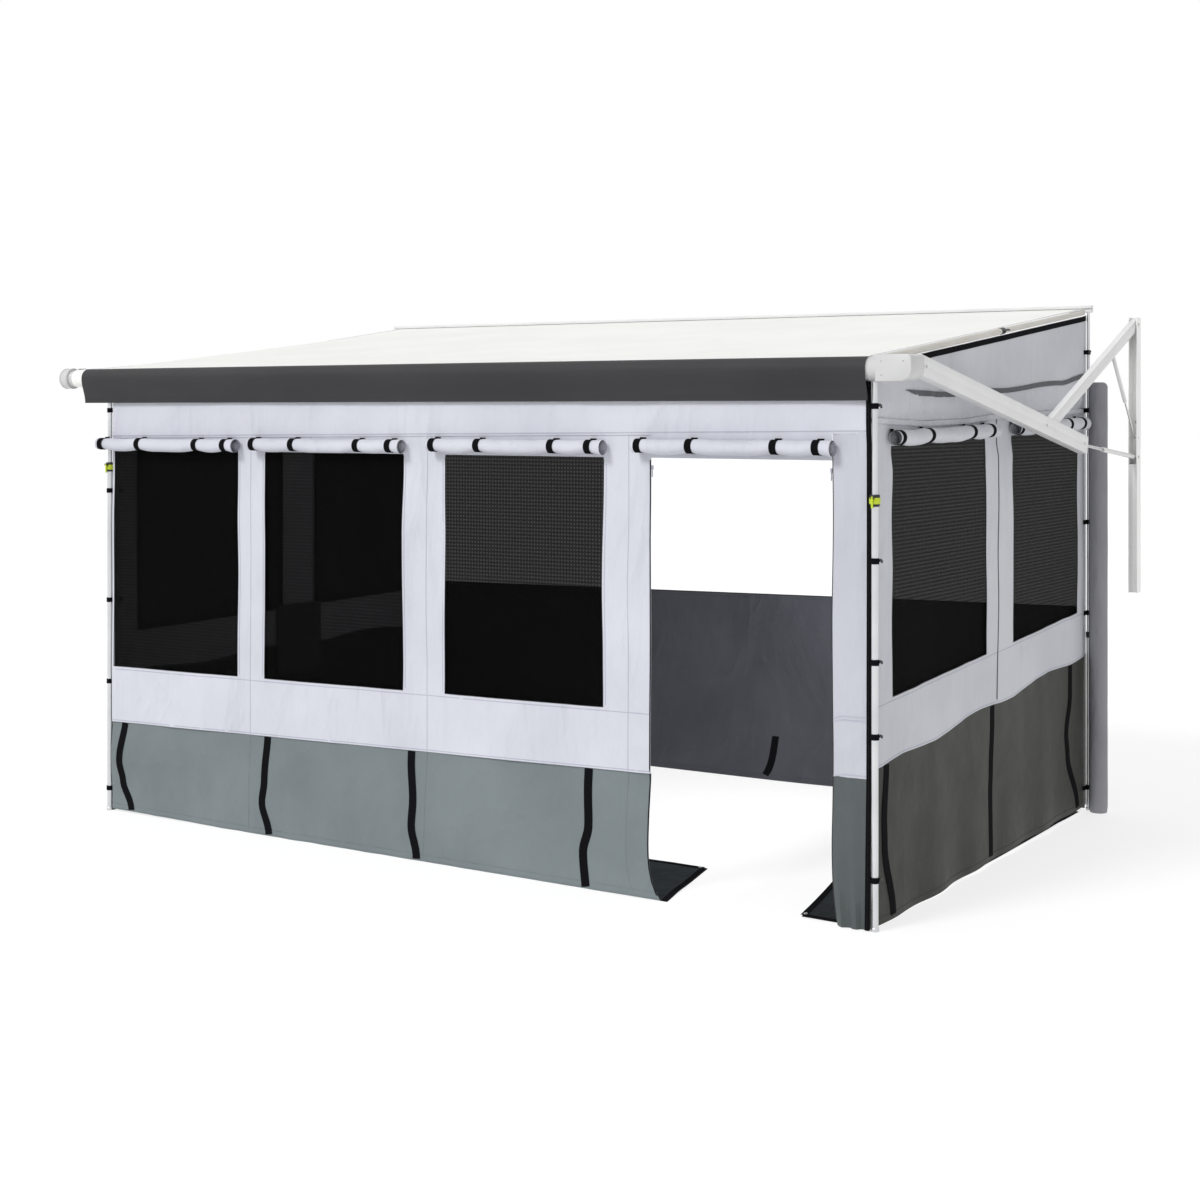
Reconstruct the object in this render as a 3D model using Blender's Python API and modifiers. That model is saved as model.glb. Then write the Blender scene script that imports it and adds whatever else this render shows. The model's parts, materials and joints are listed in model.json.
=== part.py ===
# Recreational vehicle awning room: a roll-out awning with a room of cloth walls beneath it.
# Metres, +Z up. X = 0 is the middle of the awning, Y = 0 the middle of its depth, Z = 0 the ground.
# The vehicle's wall stands at +Y and the doorway looks along -Y.
import math

import bmesh
import bpy
from mathutils import Euler, Matrix, Vector

# Awning: roof cloth, roller and rail
FABRIC_WIDTH = 4.318
PROJECTION = 2.543
ROLLER_HEIGHT = 2.127
RAIL_HEIGHT = 2.468
RAIL_DEPTH = 0.030
RAIL_TALL = 0.034
RAIL_OVERRUN = 0.036
BEAD_RADIUS = 0.004
BEAD_SETBACK = 0.018
ROOF_SKIN = 0.0025
ROLLER_RADIUS = 0.042
ROLLER_WALL = 0.005
VALANCE_SKIN = 0.003
VALANCE_DROP = 0.122
VALANCE_LEFT_CUT = 0.074
VALANCE_LEAD = 0.012
BEAD_SLOT_CLEARANCE = 0.0009
ROOF_REAR_CLEARANCE = 0.002
RAIL_END_CLEARANCE = 0.004
SIDE_RAIL_RADIUS = 0.014

# Roller heads: a block beside the drum on the right, a drum with a neck on the left
HEAD_LENGTH = 0.192
HEAD_DEPTH = 0.124
HEAD_HEIGHT = 0.101
HEAD_UPPER_ROUND = 0.018
HEAD_LOWER_ROUND = 0.046
HEAD_EDGE_ROUND = 0.010
DRUM_RADIUS = 0.046
DRUM_LENGTH = 0.046
LEFT_DRUM_RADIUS = 0.050
LEFT_DRUM_LENGTH = 0.058
LEFT_DRUM_EDGE = 0.006
NECK_RADIUS = 0.040
NECK_LENGTH = 0.025
SPIGOT_LENGTH = 0.060
SPIGOT_SINK = 0.030
LUG_SINK = 0.020
LUG_WIDTH = 0.030
LUG_HEIGHT = 0.044
LUG_PIVOT_OUT = 0.105
LUG_PIVOT_UP = 0.009

# Folding arms, in the upright plane that runs from each roller head to its wall channel
ARM_HEAD_OUT = {"r": 0.152, "l": 0.060}
ARM_WALL_OUT = 0.252
MAIN_ARM_WIDTH = 0.044
MAIN_ARM_HEIGHT = 0.078
MAIN_ARM_WALL = 0.003
ARM_END_CLEARANCE = 0.002
ARM_END_REACH = 0.014
ARM_SLOT_START = 0.050
UPPER_ARM_WIDTH = 0.030
UPPER_ARM_HEIGHT = 0.050
UPPER_ARM_WALL = 0.0025
UPPER_ARM_START = 0.010
ELBOW_FROM_WALL = 0.735
ELBOW_DROP = 0.656
BRACE_FROM_ELBOW = 0.435
PIVOT_SETBACK = 0.035
UPPER_PIVOT_DROP = 0.083
LOWER_PIVOT_DROP = 0.726
GAS_FOOT_DROP = 0.630
GAS_HEAD_DOWN_ARM = 0.345
CHANNEL_WIDTH = 0.042
CHANNEL_DEPTH = 0.065
CHANNEL_WALL = 0.003
CHANNEL_DROP = 0.049
CHANNEL_LENGTH = 1.335
PIN_RADIUS = 0.005
PIN_CLEARANCE = 0.0004
OPEN_PIN_CLEARANCE = 0.0009
TILTED_PIN_CLEARANCE = 0.0020
LINK_TUBE_RADIUS = 0.0115
LINK_ROD_RADIUS = 0.0072
LINK_TUBE_LENGTH = 0.440
LINK_ROD_OVERLAP = 0.140
GAS_TUBE_RADIUS = 0.009
GAS_ROD_RADIUS = 0.0042
GAS_TUBE_LENGTH = 0.300
GAS_ROD_OVERLAP = 0.230
BORE_FLOOR = 0.040
SLIDING_CLEARANCE = 0.0005
CUT_OVERRUN = 0.010

# Room: poles, cloth walls, doorway and windows
RIGHT_POLE_OUT = 0.021
ROOM_WIDTH = 4.113
SKIN = 0.003
SCREEN_SKIN = 0.0012
GAP = 0.0004
POST_WIDTH = 0.153
DOOR_WIDTH = 0.812
FRONT_MARGIN = 0.012
COLUMN_WIDTHS = (0.170, 0.230, 0.229)
WINDOW_HEAD_DROP = 0.3086
SEAM_DROP_LEFT = 0.2376
SEAM_DROP_RIGHT = 0.1906
BAND_LOW_LEFT = 0.440
BAND_LOW_DOOR = 0.496
SILL_LEFT = 0.712
SILL_DOOR = 0.750
SKIRT_STAND = 0.050
FOLD_PITCH = 0.42
FOLD_DEPTH = 0.007
FOLD_START = 0.040
SIDE_FRONT_MARGIN = 0.196
SIDE_COLUMN = 0.320
SIDE_REAR_MARGIN = 0.156
FIRST_SIDE_WINDOW_SHARE = 0.528
SIDE_REAR_CLEARANCE = 0.002
SIDE_CORNER_WIDTH = 0.016
SIDE_HEAD_STEP = 0.050
SIDE_HEAD_RISE = 0.020
SCREEN_LAP = 0.030
SCREEN_LEFT_LAP = 0.008
DRAUGHT_SKIRT_HEIGHT = 1.000
DRAUGHT_SKIRT_FOOT = 0.002
DRAUGHT_SKIRT_SETBACK = 0.012
DRAUGHT_FOLD_PITCH = 0.80
DRAUGHT_STEP = 0.20

# Height of each side wall's band at the front and its rise per metre towards the vehicle
SIDE_BANDS = {
    "r": {"low": 0.598, "low_rise": 0.068, "sill": 0.848, "sill_rise": 0.056},
    "l": {"low": 0.664, "low_rise": 0.014, "sill": 0.897, "sill_rise": 0.014},
}

# Rolled window and door covers
ROLL_RADIUS = 0.033
ROLL_PINCH = 0.004
ROLL_PINCH_REACH = 0.022
ROLL_LEFT_LAP = 0.063
ROLL_RIGHT_LAP = 0.015
ROLL_RISE_LEFT = 0.026
ROLL_RISE_RIGHT = 0.053
SIDE_ROLL_LAP = 0.035
STRAP_SHARES = (0.06, 0.36, 0.72, 0.94)

# Telescopic poles
FRONT_TUBE_RADIUS = 0.0135
FRONT_INNER_RADIUS = 0.011
REAR_TUBE_RADIUS = 0.0095
REAR_INNER_RADIUS = 0.0078
TUBE_WALL = 0.0012
FOOT_FLARE = 0.003
FOOT_HEIGHT = 0.012
COLLAR_FLARE = 0.006
COLLAR_HEIGHT = 0.046
REAR_COLLAR_FLARE = 0.002
REAR_COLLAR_HEIGHT = 0.030
TUBE_OVERLAP = 0.250
REAR_POLE_FROM_WALL = 0.030
LOOP_THICKNESS = 0.0024
LOOP_CLEARANCE = 0.0006
LOOP_HEIGHT = 0.016
LOOP_TAB = 0.008
REAR_LOOPS = (1.969, 1.419, 0.972, 0.113)
POLES = {
    "fr": {"side": "r", "row": "front", "collar": 1.627, "top_loop": 0.092, "loops": (1.398, 1.015, 0.734, 0.193)},
    "fl": {"side": "l", "row": "front", "collar": 1.690, "top_loop": 0.116, "loops": (1.574, 1.036, 0.636, 0.110)},
    "rr": {"side": "r", "row": "rear", "collar": 0.864, "top_loop": 0.197, "loops": REAR_LOOPS},
    "rl": {"side": "l", "row": "rear", "collar": 0.864, "top_loop": 0.197, "loops": REAR_LOOPS},
}

# Clamp lever on each front pole
LEVER_WIDTH = 0.008
LEVER_LENGTH = 0.040
LEVER_DEPTH = 0.006
EAR_THICKNESS = 0.003
EAR_REACH = 0.010
EAR_SINK = 0.004
EAR_HEIGHT = 0.010
LEVER_PIVOT_RISE = 0.012
LEVER_NOSE = 0.004
LEVER_EDGE = 0.001
LEVER_PIN_RADIUS = 0.0018

# Pads, pocket, ground flaps and zip sliders
PAD_RADIUS = 0.046
PAD_HEIGHT = 2.106
PAD_CLEARANCE = 0.0006
PAD_DOME = 0.018
POCKET_WIDTH = 0.345
POCKET_HEIGHT = 0.372
POCKET_DEPTH = 0.028
POCKET_TOP = 0.900
POCKET_FROM_FRONT = 1.165
POCKET_ROUND = 0.010
FLAP_DEPTH = 0.500
FLAP_SLANT = 0.110
FLAP_SIDE_DEPTH = 0.300
FLAP_WIDEST_AT = 0.850
FLAP_FRONT_CLEARANCE = 0.030
FLAP_REAR_CLEARANCE = 0.100
FLAP_CORNER_CLEARANCE = 0.060
FLAP_CLEARANCE = 0.0009
SLIDER_WIDTH = 0.009
SLIDER_DEPTH = 0.006
SLIDER_HEIGHT = 0.018
SLIDER_EDGE = 0.0015
PULL_LENGTH = 0.034
PULL_WIDTH = 0.005
PULL_THICKNESS = 0.002
PULL_LAP = 0.004
SLIDER_BELOW_HEAD = 0.030

# Fineness of curved surfaces and cloth grids
TUBE_STEPS = 16
ROLLER_STEPS = 24
ROLL_STEPS = 12
CLOTH_STEP = 0.14
PANEL_STEP = 0.50

# Places worked out from the sizes above
FRONT_REACH = max(2 * ROLL_RADIUS + SKIN / 2 + GAP, HEAD_DEPTH / 2)
WALL_Y = (PROJECTION + FRONT_REACH) / 2
ROLLER_Y = WALL_Y - PROJECTION
RAIL_FRONT = WALL_Y - RAIL_DEPTH
BEAD_Y = WALL_Y - BEAD_SETBACK
HALF_FABRIC = FABRIC_WIDTH / 2
WALL_INSET = FRONT_TUBE_RADIUS + COLLAR_FLARE + GAP + SKIN / 2
POLE_X = {"r": HALF_FABRIC + RIGHT_POLE_OUT, "l": HALF_FABRIC + RIGHT_POLE_OUT - ROOM_WIDTH}
POLE_Y = {"front": ROLLER_Y, "rear": WALL_Y - REAR_POLE_FROM_WALL}
OUTWARD = {"r": 1, "l": -1}
SIDE_X = {side: POLE_X[side] - OUTWARD[side] * WALL_INSET for side in OUTWARD}
ROOF_FRONT = Vector((0, ROLLER_Y, ROLLER_HEIGHT + ROLLER_RADIUS + GAP + ROOF_SKIN / 2))
ROOF_REAR = Vector((0, BEAD_Y, RAIL_HEIGHT))
ROOF_SLOPE = math.atan2(ROOF_REAR.z - ROOF_FRONT.z, ROOF_REAR.y - ROOF_FRONT.y)
HEADER_TOP = ROLLER_HEIGHT - ROLLER_RADIUS - GAP
HEAD_START = HALF_FABRIC + RAIL_END_CLEARANCE
WINDOW_HEAD = HEADER_TOP - WINDOW_HEAD_DROP
SEAM_LEFT = HEADER_TOP - SEAM_DROP_LEFT
SEAM_RIGHT = HEADER_TOP - SEAM_DROP_RIGHT
SIDE_WINDOW_HEAD = WINDOW_HEAD + SIDE_HEAD_STEP
CHANNEL_TOP = RAIL_HEIGHT - CHANNEL_DROP
CHANNEL_BOTTOM = CHANNEL_TOP - CHANNEL_LENGTH

parts = bpy.data.collections.new("awning_room")
helpers = bpy.data.collections.new("cutters")


def clear_scene():
    for obj in list(bpy.data.objects):
        bpy.data.objects.remove(obj, do_unlink=True)
    bpy.context.scene.collection.children.link(parts)
    bpy.context.scene.collection.children.link(helpers)


def material(name, colour, roughness=0.6, metallic=0.0, alpha=1.0):
    made = bpy.data.materials.get(name)
    if made is None:
        made = bpy.data.materials.new(name)
        made.use_nodes = True
        shader = made.node_tree.nodes["Principled BSDF"]
        shader.inputs["Base Color"].default_value = (*colour, 1)
        shader.inputs["Roughness"].default_value = roughness
        shader.inputs["Metallic"].default_value = metallic
        shader.inputs["Alpha"].default_value = alpha
    return made


def white_cloth():
    return material("white_cloth", (0.68, 0.69, 0.75), 0.8)


def grey_cloth():
    return material("grey_cloth", (0.19, 0.21, 0.21), 0.6)


def dark_cloth():
    return material("dark_cloth", (0.06, 0.06, 0.065), 0.75)


def screen_cloth():
    return material("screen_cloth", (0.01, 0.01, 0.01), 0.8)


def white_metal():
    return material("white_metal", (0.75, 0.75, 0.73), 0.35)


def bare_metal():
    return material("bare_metal", (0.72, 0.72, 0.70), 0.3, 1.0)


def add_object(name, data, finish, collection=parts):
    obj = bpy.data.objects.new(name, data)
    collection.objects.link(obj)
    if finish is not None:
        data.materials.append(finish)
    return obj


def mesh_object(name, shape, finish, collection=parts):
    bmesh.ops.recalc_face_normals(shape, faces=shape.faces)
    data = bpy.data.meshes.new(name)
    shape.to_mesh(data)
    shape.free()
    return add_object(name, data, finish, collection)


def hide_helper(obj):
    obj.hide_render = True
    obj.display_type = "WIRE"
    return obj


def boolean(target, other, operation):
    step = target.modifiers.new(operation.lower() + "_" + other.name, "BOOLEAN")
    step.operation = operation
    step.object = other
    step.solver = "EXACT"


def add_block(shape, low, high):
    low, high = Vector(low), Vector(high)
    place = Matrix.Translation((low + high) / 2) @ Matrix.Diagonal((*(high - low), 1))
    return bmesh.ops.create_cube(shape, size=1, matrix=place)["verts"]


def add_round_bar(shape, start, end, radius, steps=TUBE_STEPS):
    start, end = Vector(start), Vector(end)
    turn = (end - start).to_track_quat("Z", "Y").to_matrix().to_4x4()
    place = Matrix.Translation((start + end) / 2) @ turn
    made = bmesh.ops.create_cone(
        shape, cap_ends=True, segments=steps, radius1=radius, radius2=radius, depth=(end - start).length, matrix=place
    )
    return made["verts"]


def block(name, low, high, finish, collection=parts):
    shape = bmesh.new()
    add_block(shape, low, high)
    return mesh_object(name, shape, finish, collection)


def smooth(obj, angle=0.6):
    obj.data.shade_smooth()
    obj.data.set_sharp_from_angle(angle=angle)


def ring_points(centre, radius, steps, start=0.0, sweep=2 * math.pi, closed=True):
    count = steps if closed else steps + 1
    angles = [start + sweep * k / steps for k in range(count)]
    return [(centre[0] + radius * math.cos(a), centre[1] + radius * math.sin(a)) for a in angles]


def flat_outline(name, outlines, thickness, finish, location, rotation, collection=parts):
    """A filled outline, with any holes as further loops, as thick as asked about its own plane."""
    curve = bpy.data.curves.new(name, "CURVE")
    curve.dimensions = "2D"
    curve.fill_mode = "BOTH"
    curve.extrude = thickness / 2
    for loop in outlines:
        spline = curve.splines.new("POLY")
        spline.points.add(len(loop) - 1)
        for point, place in zip(spline.points, loop):
            point.co = (*place, 0, 1)
        spline.use_cyclic_u = True
    obj = add_object(name, curve, finish, collection)
    obj.location = location
    obj.rotation_euler = rotation
    return obj


def along_x(name, outlines, length, finish, middle=0.0):
    """An outline drawn in the Y-Z plane and drawn out along X."""
    turn = (math.pi / 2, 0, math.pi / 2)
    return flat_outline(name, outlines, length, finish, (middle, 0, 0), turn)


def as_mesh(obj, collection=helpers):
    """The curve object turned into a welded mesh object in the same place."""
    bpy.context.view_layer.update()
    evaluated = obj.evaluated_get(bpy.context.evaluated_depsgraph_get())
    data = bpy.data.meshes.new_from_object(evaluated)
    shape = bmesh.new()
    shape.from_mesh(data)
    bmesh.ops.remove_doubles(shape, verts=shape.verts, dist=1e-6)
    shape.transform(obj.matrix_world)
    name = obj.name
    bpy.data.objects.remove(obj, do_unlink=True)
    return mesh_object(name, shape, None, collection)


def turned(name, profile, finish, steps=TUBE_STEPS, collection=parts):
    """A profile of (radius, height) points, outer side first from top to bottom, turned about Z."""
    shape = bmesh.new()
    corners = [shape.verts.new((radius, 0, height)) for radius, height in profile]
    for first, second in zip(corners, corners[1:] + corners[:1]):
        shape.edges.new((first, second))
    data = bpy.data.meshes.new(name)
    shape.to_mesh(data)
    shape.free()
    obj = add_object(name, data, finish, collection)
    spin = obj.modifiers.new("turn", "SCREW")
    spin.steps = steps
    spin.render_steps = steps
    spin.use_merge_vertices = True
    spin.merge_threshold = 1e-5
    return obj


def stations(*bounds, step=CLOTH_STEP):
    """Places along a wall that hold every bound and lie no further apart than the cloth step."""
    places = [bounds[0]]
    for low, high in zip(bounds, bounds[1:]):
        count = max(1, math.ceil((high - low) / step - 1e-6))
        places += [low + (high - low) * k / count for k in range(1, count + 1)]
    return places


def cloth(name, across, levels, place, thickness, finish, is_open=None):
    """A closed sheet: a grid of places by level functions, with open cells left out, made thick along its normal."""
    columns, rows = len(across) - 1, len(levels) - 1
    shape = bmesh.new()
    bmesh.ops.create_grid(shape, x_segments=columns, y_segments=rows, size=1)
    cells = {}
    for face in shape.faces:
        middle = face.calc_center_median()
        cells[face] = (int((middle.x + 1) / 2 * columns), int((middle.y + 1) / 2 * rows))
    index = {v: (round((v.co.x + 1) / 2 * columns), round((v.co.y + 1) / 2 * rows)) for v in shape.verts}
    for vertex, (column, row) in index.items():
        along = across[column]
        vertex.co = place(along, levels[row](along))
    if is_open:
        spare = [face for face, (i, j) in cells.items() if is_open((across[i] + across[i + 1]) / 2, j)]
        bmesh.ops.delete(shape, geom=spare, context="FACES")
    back = bmesh.ops.duplicate(shape, geom=shape.verts[:] + shape.edges[:] + shape.faces[:])
    pairs = [(front, back["vert_map"][front]) for front in list(back["vert_map"]) if front in index]
    for _, behind in pairs:
        behind.co += thickness
    twin = dict(pairs)
    rim = [edge for edge in shape.edges if edge.is_boundary and edge.verts[0] in twin]
    for edge in rim:
        first, second = edge.verts
        shape.faces.new((first, second, twin[second], twin[first]))
    return mesh_object(name, shape, finish)


def line(low, high, start, end):
    """A straight line of heights: low at start and high at end."""
    return lambda at: low + (high - low) * (at - start) / (end - start)


def level(height):
    return lambda at: height


def fold(at, start, end, pitch=FOLD_PITCH):
    """How far cloth stands out at a place between two fixed edges, in whole folds, from 0 to 1."""
    count = max(1, round((end - start) / pitch))
    share = min(max((at - start) / (end - start), 0), 1)
    return 0.5 - 0.5 * math.cos(2 * math.pi * count * share)


# Awning rail, roof cloth and roller
def awning_rail():
    half = RAIL_TALL / 2
    slot = ROOF_SKIN / 2 + BEAD_SLOT_CLEARANCE
    bore = BEAD_RADIUS + SLIDING_CLEARANCE
    mouth = math.asin(slot / bore)
    groove = ring_points((BEAD_Y, RAIL_HEIGHT), bore, 14, math.pi - mouth, -2 * (math.pi - mouth), False)
    outline = [(RAIL_FRONT, RAIL_HEIGHT + half), (RAIL_FRONT, RAIL_HEIGHT + slot)]
    outline += groove
    outline += [(RAIL_FRONT, RAIL_HEIGHT - slot), (RAIL_FRONT, RAIL_HEIGHT - half)]
    outline += [(WALL_Y, RAIL_HEIGHT - half), (WALL_Y, RAIL_HEIGHT + half)]
    return along_x("awning_rail", [outline], FABRIC_WIDTH + 2 * RAIL_OVERRUN, white_metal())


def roof_fabric():
    half = ROOF_SKIN / 2
    mouth = math.asin(half / BEAD_RADIUS)
    bead = ring_points((BEAD_Y, RAIL_HEIGHT), BEAD_RADIUS, 12, math.pi + mouth, 2 * (math.pi - mouth), False)
    rear = RAIL_FRONT - ROOF_REAR_CLEARANCE
    outline = bead + [(rear, RAIL_HEIGHT + half), (ROOF_FRONT.y, ROOF_FRONT.z + half)]
    outline += [(ROOF_FRONT.y, ROOF_FRONT.z - half), (rear, RAIL_HEIGHT - half)]
    return along_x("roof_fabric", [outline], FABRIC_WIDTH, material("roof_cloth", (0.88, 0.88, 0.85), 0.75))


def roller_tube():
    outer = ring_points((ROLLER_Y, ROLLER_HEIGHT), ROLLER_RADIUS, ROLLER_STEPS)
    inner = ring_points((ROLLER_Y, ROLLER_HEIGHT), ROLLER_RADIUS - ROLLER_WALL, ROLLER_STEPS)
    return along_x("roller_tube", [outer, inner], FABRIC_WIDTH - 2 * GAP, white_metal())


def roller_valance():
    inner = ROLLER_RADIUS + GAP + LOOP_CLEARANCE
    outer = inner + VALANCE_SKIN
    centre = (ROLLER_Y, ROLLER_HEIGHT)
    start = math.pi / 2 + VALANCE_LEAD
    front = ring_points(centre, outer, 8, start, math.pi / 2 - VALANCE_LEAD, False)
    back = ring_points(centre, inner, 8, math.pi, VALANCE_LEAD - math.pi / 2, False)
    hem = ROLLER_HEIGHT - VALANCE_DROP
    outline = front + [(ROLLER_Y - outer, hem), (ROLLER_Y - inner, hem)] + back
    length = FABRIC_WIDTH - VALANCE_LEFT_CUT
    return along_x("roller_valance", [outline], length, dark_cloth(), VALANCE_LEFT_CUT / 2)


def side_rail(side):
    drop = ROOF_SKIN / 2 + GAP + SIDE_RAIL_RADIUS
    down = Vector((0, math.sin(ROOF_SLOPE), -math.cos(ROOF_SLOPE))) * drop
    along = Vector((0, math.cos(ROOF_SLOPE), math.sin(ROOF_SLOPE)))
    front = ROOF_FRONT + down + along * (HEAD_DEPTH / 2 + RAIL_END_CLEARANCE)
    rear = ROOF_REAR + down - along * (RAIL_DEPTH + RAIL_END_CLEARANCE)
    shape = bmesh.new()
    across = Vector((SIDE_X[side], 0, 0))
    add_round_bar(shape, front + across, rear + across, SIDE_RAIL_RADIUS)
    rail = mesh_object("side_rail_" + side, shape, material("side_rail", (0.62, 0.60, 0.56), 0.45))
    smooth(rail)
    return rail


def side_rail_underside(y):
    """Height just under the side rail, at a place along the depth."""
    drop = (ROOF_SKIN / 2 + GAP + 2 * SIDE_RAIL_RADIUS + GAP) / math.cos(ROOF_SLOPE)
    return ROOF_FRONT.z + (y - ROOF_FRONT.y) * math.tan(ROOF_SLOPE) - drop


# Folding arms
class ArmPlane:
    """The upright plane of one arm set: its empty, and its pivots as (along, height) from the roller axis."""

    def __init__(self, side):
        self.side = side
        out = OUTWARD[side]
        front = Vector((out * (HALF_FABRIC + ARM_HEAD_OUT[side]), ROLLER_Y, 0))
        wall = Vector((out * (HALF_FABRIC + ARM_WALL_OUT), WALL_Y - PIVOT_SETBACK, 0))
        run = wall - front
        self.splay = math.atan2(run.x, run.y)
        self.wall_x = wall.x
        reach = run.length
        self.head = Vector((0, LUG_PIVOT_OUT, ROLLER_HEIGHT + LUG_PIVOT_UP))
        self.upper = Vector((0, reach, RAIL_HEIGHT - UPPER_PIVOT_DROP))
        self.lower = Vector((0, reach, RAIL_HEIGHT - LOWER_PIVOT_DROP))
        self.gas_foot = Vector((0, reach, RAIL_HEIGHT - GAS_FOOT_DROP))
        self.elbow = Vector((0, reach - (ELBOW_FROM_WALL - PIVOT_SETBACK), RAIL_HEIGHT - ELBOW_DROP))
        self.main_run = (self.elbow - self.head).normalized()
        self.brace = self.elbow - self.main_run * BRACE_FROM_ELBOW
        self.upper_run = (self.brace - self.upper).normalized()
        self.gas_head = self.upper + self.upper_run * GAS_HEAD_DOWN_ARM
        self.gas_run = (self.gas_foot - self.gas_head).normalized()
        self.link_run = (self.elbow - self.lower).normalized()
        self.frame = bpy.data.objects.new("arm_plane_" + side, None)
        helpers.objects.link(self.frame)
        self.frame.location = front
        self.frame.rotation_euler = (0, 0, -self.splay)

    def hang(self, obj, origin, run):
        """Parents an object, drawn along its own +Y, so that it starts at the origin and follows the run."""
        obj.parent = self.frame
        obj.location = origin
        obj.rotation_euler = (math.atan2(run.z, run.y), 0, 0)

    def world(self, point):
        return Matrix.Translation(self.frame.location) @ Matrix.Rotation(-self.splay, 4, "Z") @ Vector(point)


def cross_pin(shape, at, width, radius=PIN_RADIUS):
    return add_round_bar(shape, (-width / 2, at, 0), (width / 2, at, 0), radius, 12)


def main_arm(plane):
    side = plane.side
    head_at = -(plane.brace - plane.head).length
    half, tall, wall = MAIN_ARM_WIDTH / 2, MAIN_ARM_HEIGHT / 2, MAIN_ARM_WALL
    room = LUG_PIVOT_OUT - HEAD_DEPTH / 2 - ARM_END_CLEARANCE
    outer_end = head_at - (room + tall * plane.main_run.z) / plane.main_run.y
    inner_end = BRACE_FROM_ELBOW + ARM_END_REACH
    arm = block("main_arm_" + side, (-half, outer_end, -tall), (half, inner_end, tall), white_metal())
    cuts = bmesh.new()
    add_block(cuts, (wall - half, outer_end - CUT_OVERRUN, wall - tall), (half - wall, inner_end + CUT_OVERRUN, tall - wall))
    bore = mesh_object("main_arm_bore_" + side, cuts, None, helpers)
    cuts = bmesh.new()
    add_block(cuts, (wall - half, -ARM_SLOT_START, 0), (half - wall, inner_end + CUT_OVERRUN, tall + CUT_OVERRUN))
    slot = mesh_object("main_arm_slot_" + side, cuts, None, helpers)
    cuts = bmesh.new()
    cross_pin(cuts, 0, 2 * MAIN_ARM_WIDTH, PIN_RADIUS + PIN_CLEARANCE)
    for at in (head_at, BRACE_FROM_ELBOW):
        cross_pin(cuts, at, 2 * MAIN_ARM_WIDTH, PIN_RADIUS + OPEN_PIN_CLEARANCE)
    holes = mesh_object("main_arm_holes_" + side, cuts, None, helpers)
    for cutter in (bore, slot, holes):
        plane.hang(hide_helper(cutter), plane.brace, plane.main_run)
        boolean(arm, cutter, "DIFFERENCE")
    plane.hang(arm, plane.brace, plane.main_run)
    return arm


def upper_arm(plane):
    side = plane.side
    length = (plane.brace - plane.upper).length
    half, tall, wall = UPPER_ARM_WIDTH / 2, UPPER_ARM_HEIGHT / 2, UPPER_ARM_WALL
    low, high = -UPPER_ARM_START, length + ARM_END_REACH
    arm = block("upper_arm_" + side, (-half, low, -tall), (half, high, tall), white_metal())
    # Drawn from the wall outwards, the arm's own +Z points down, so its open side is +Z.
    cuts = bmesh.new()
    add_block(cuts, (wall - half, low - CUT_OVERRUN, wall - tall), (half - wall, high + CUT_OVERRUN, tall + CUT_OVERRUN))
    bore = mesh_object("upper_arm_bore_" + side, cuts, None, helpers)
    cuts = bmesh.new()
    cross_pin(cuts, GAS_HEAD_DOWN_ARM, 2 * UPPER_ARM_WIDTH, PIN_RADIUS + PIN_CLEARANCE)
    hole = mesh_object("upper_arm_hole_" + side, cuts, None, helpers)
    pins = bmesh.new()
    cross_pin(pins, 0, CHANNEL_WIDTH - 2 * GAP)
    cross_pin(pins, length, MAIN_ARM_WIDTH - 2 * GAP)
    pin_pair = mesh_object("upper_arm_pins_" + side, pins, None, helpers)
    for other, operation in ((bore, "DIFFERENCE"), (hole, "DIFFERENCE"), (pin_pair, "UNION")):
        plane.hang(hide_helper(other), plane.upper, plane.upper_run)
        boolean(arm, other, operation)
    plane.hang(arm, plane.upper, plane.upper_run)
    return arm


def rod_with_eye(name, plane, origin, run, length, radius, pin_width, finish, bore=None):
    """A round rod or tube from its cross pin outwards. A bore, as (radius, depth), opens its far end."""
    shape = bmesh.new()
    add_round_bar(shape, (0, -radius, 0), (0, length, 0), radius)
    rod = mesh_object(name, shape, finish)
    pins = bmesh.new()
    cross_pin(pins, 0, pin_width)
    pin = mesh_object(name + "_pin", pins, None, helpers)
    others = [(pin, "UNION")]
    if bore:
        cuts = bmesh.new()
        add_round_bar(cuts, (0, length - bore[1], 0), (0, length + CUT_OVERRUN, 0), bore[0])
        others.append((mesh_object(name + "_bore", cuts, None, helpers), "DIFFERENCE"))
    for other, operation in others:
        plane.hang(hide_helper(other), origin, run)
        boolean(rod, other, operation)
    plane.hang(rod, origin, run)
    return rod


def lower_link(plane):
    side = plane.side
    span = (plane.elbow - plane.lower).length
    bore = (LINK_ROD_RADIUS + SLIDING_CLEARANCE, LINK_TUBE_LENGTH - BORE_FLOOR)
    rod_with_eye(
        "link_tube_" + side, plane, plane.lower, plane.link_run, LINK_TUBE_LENGTH, LINK_TUBE_RADIUS,
        CHANNEL_WIDTH - 2 * GAP, white_metal(), bore,
    )
    rod_with_eye(
        "link_rod_" + side, plane, plane.elbow, -plane.link_run, span - LINK_TUBE_LENGTH + LINK_ROD_OVERLAP,
        LINK_ROD_RADIUS, MAIN_ARM_WIDTH - 2 * GAP, bare_metal(),
    )


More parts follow.
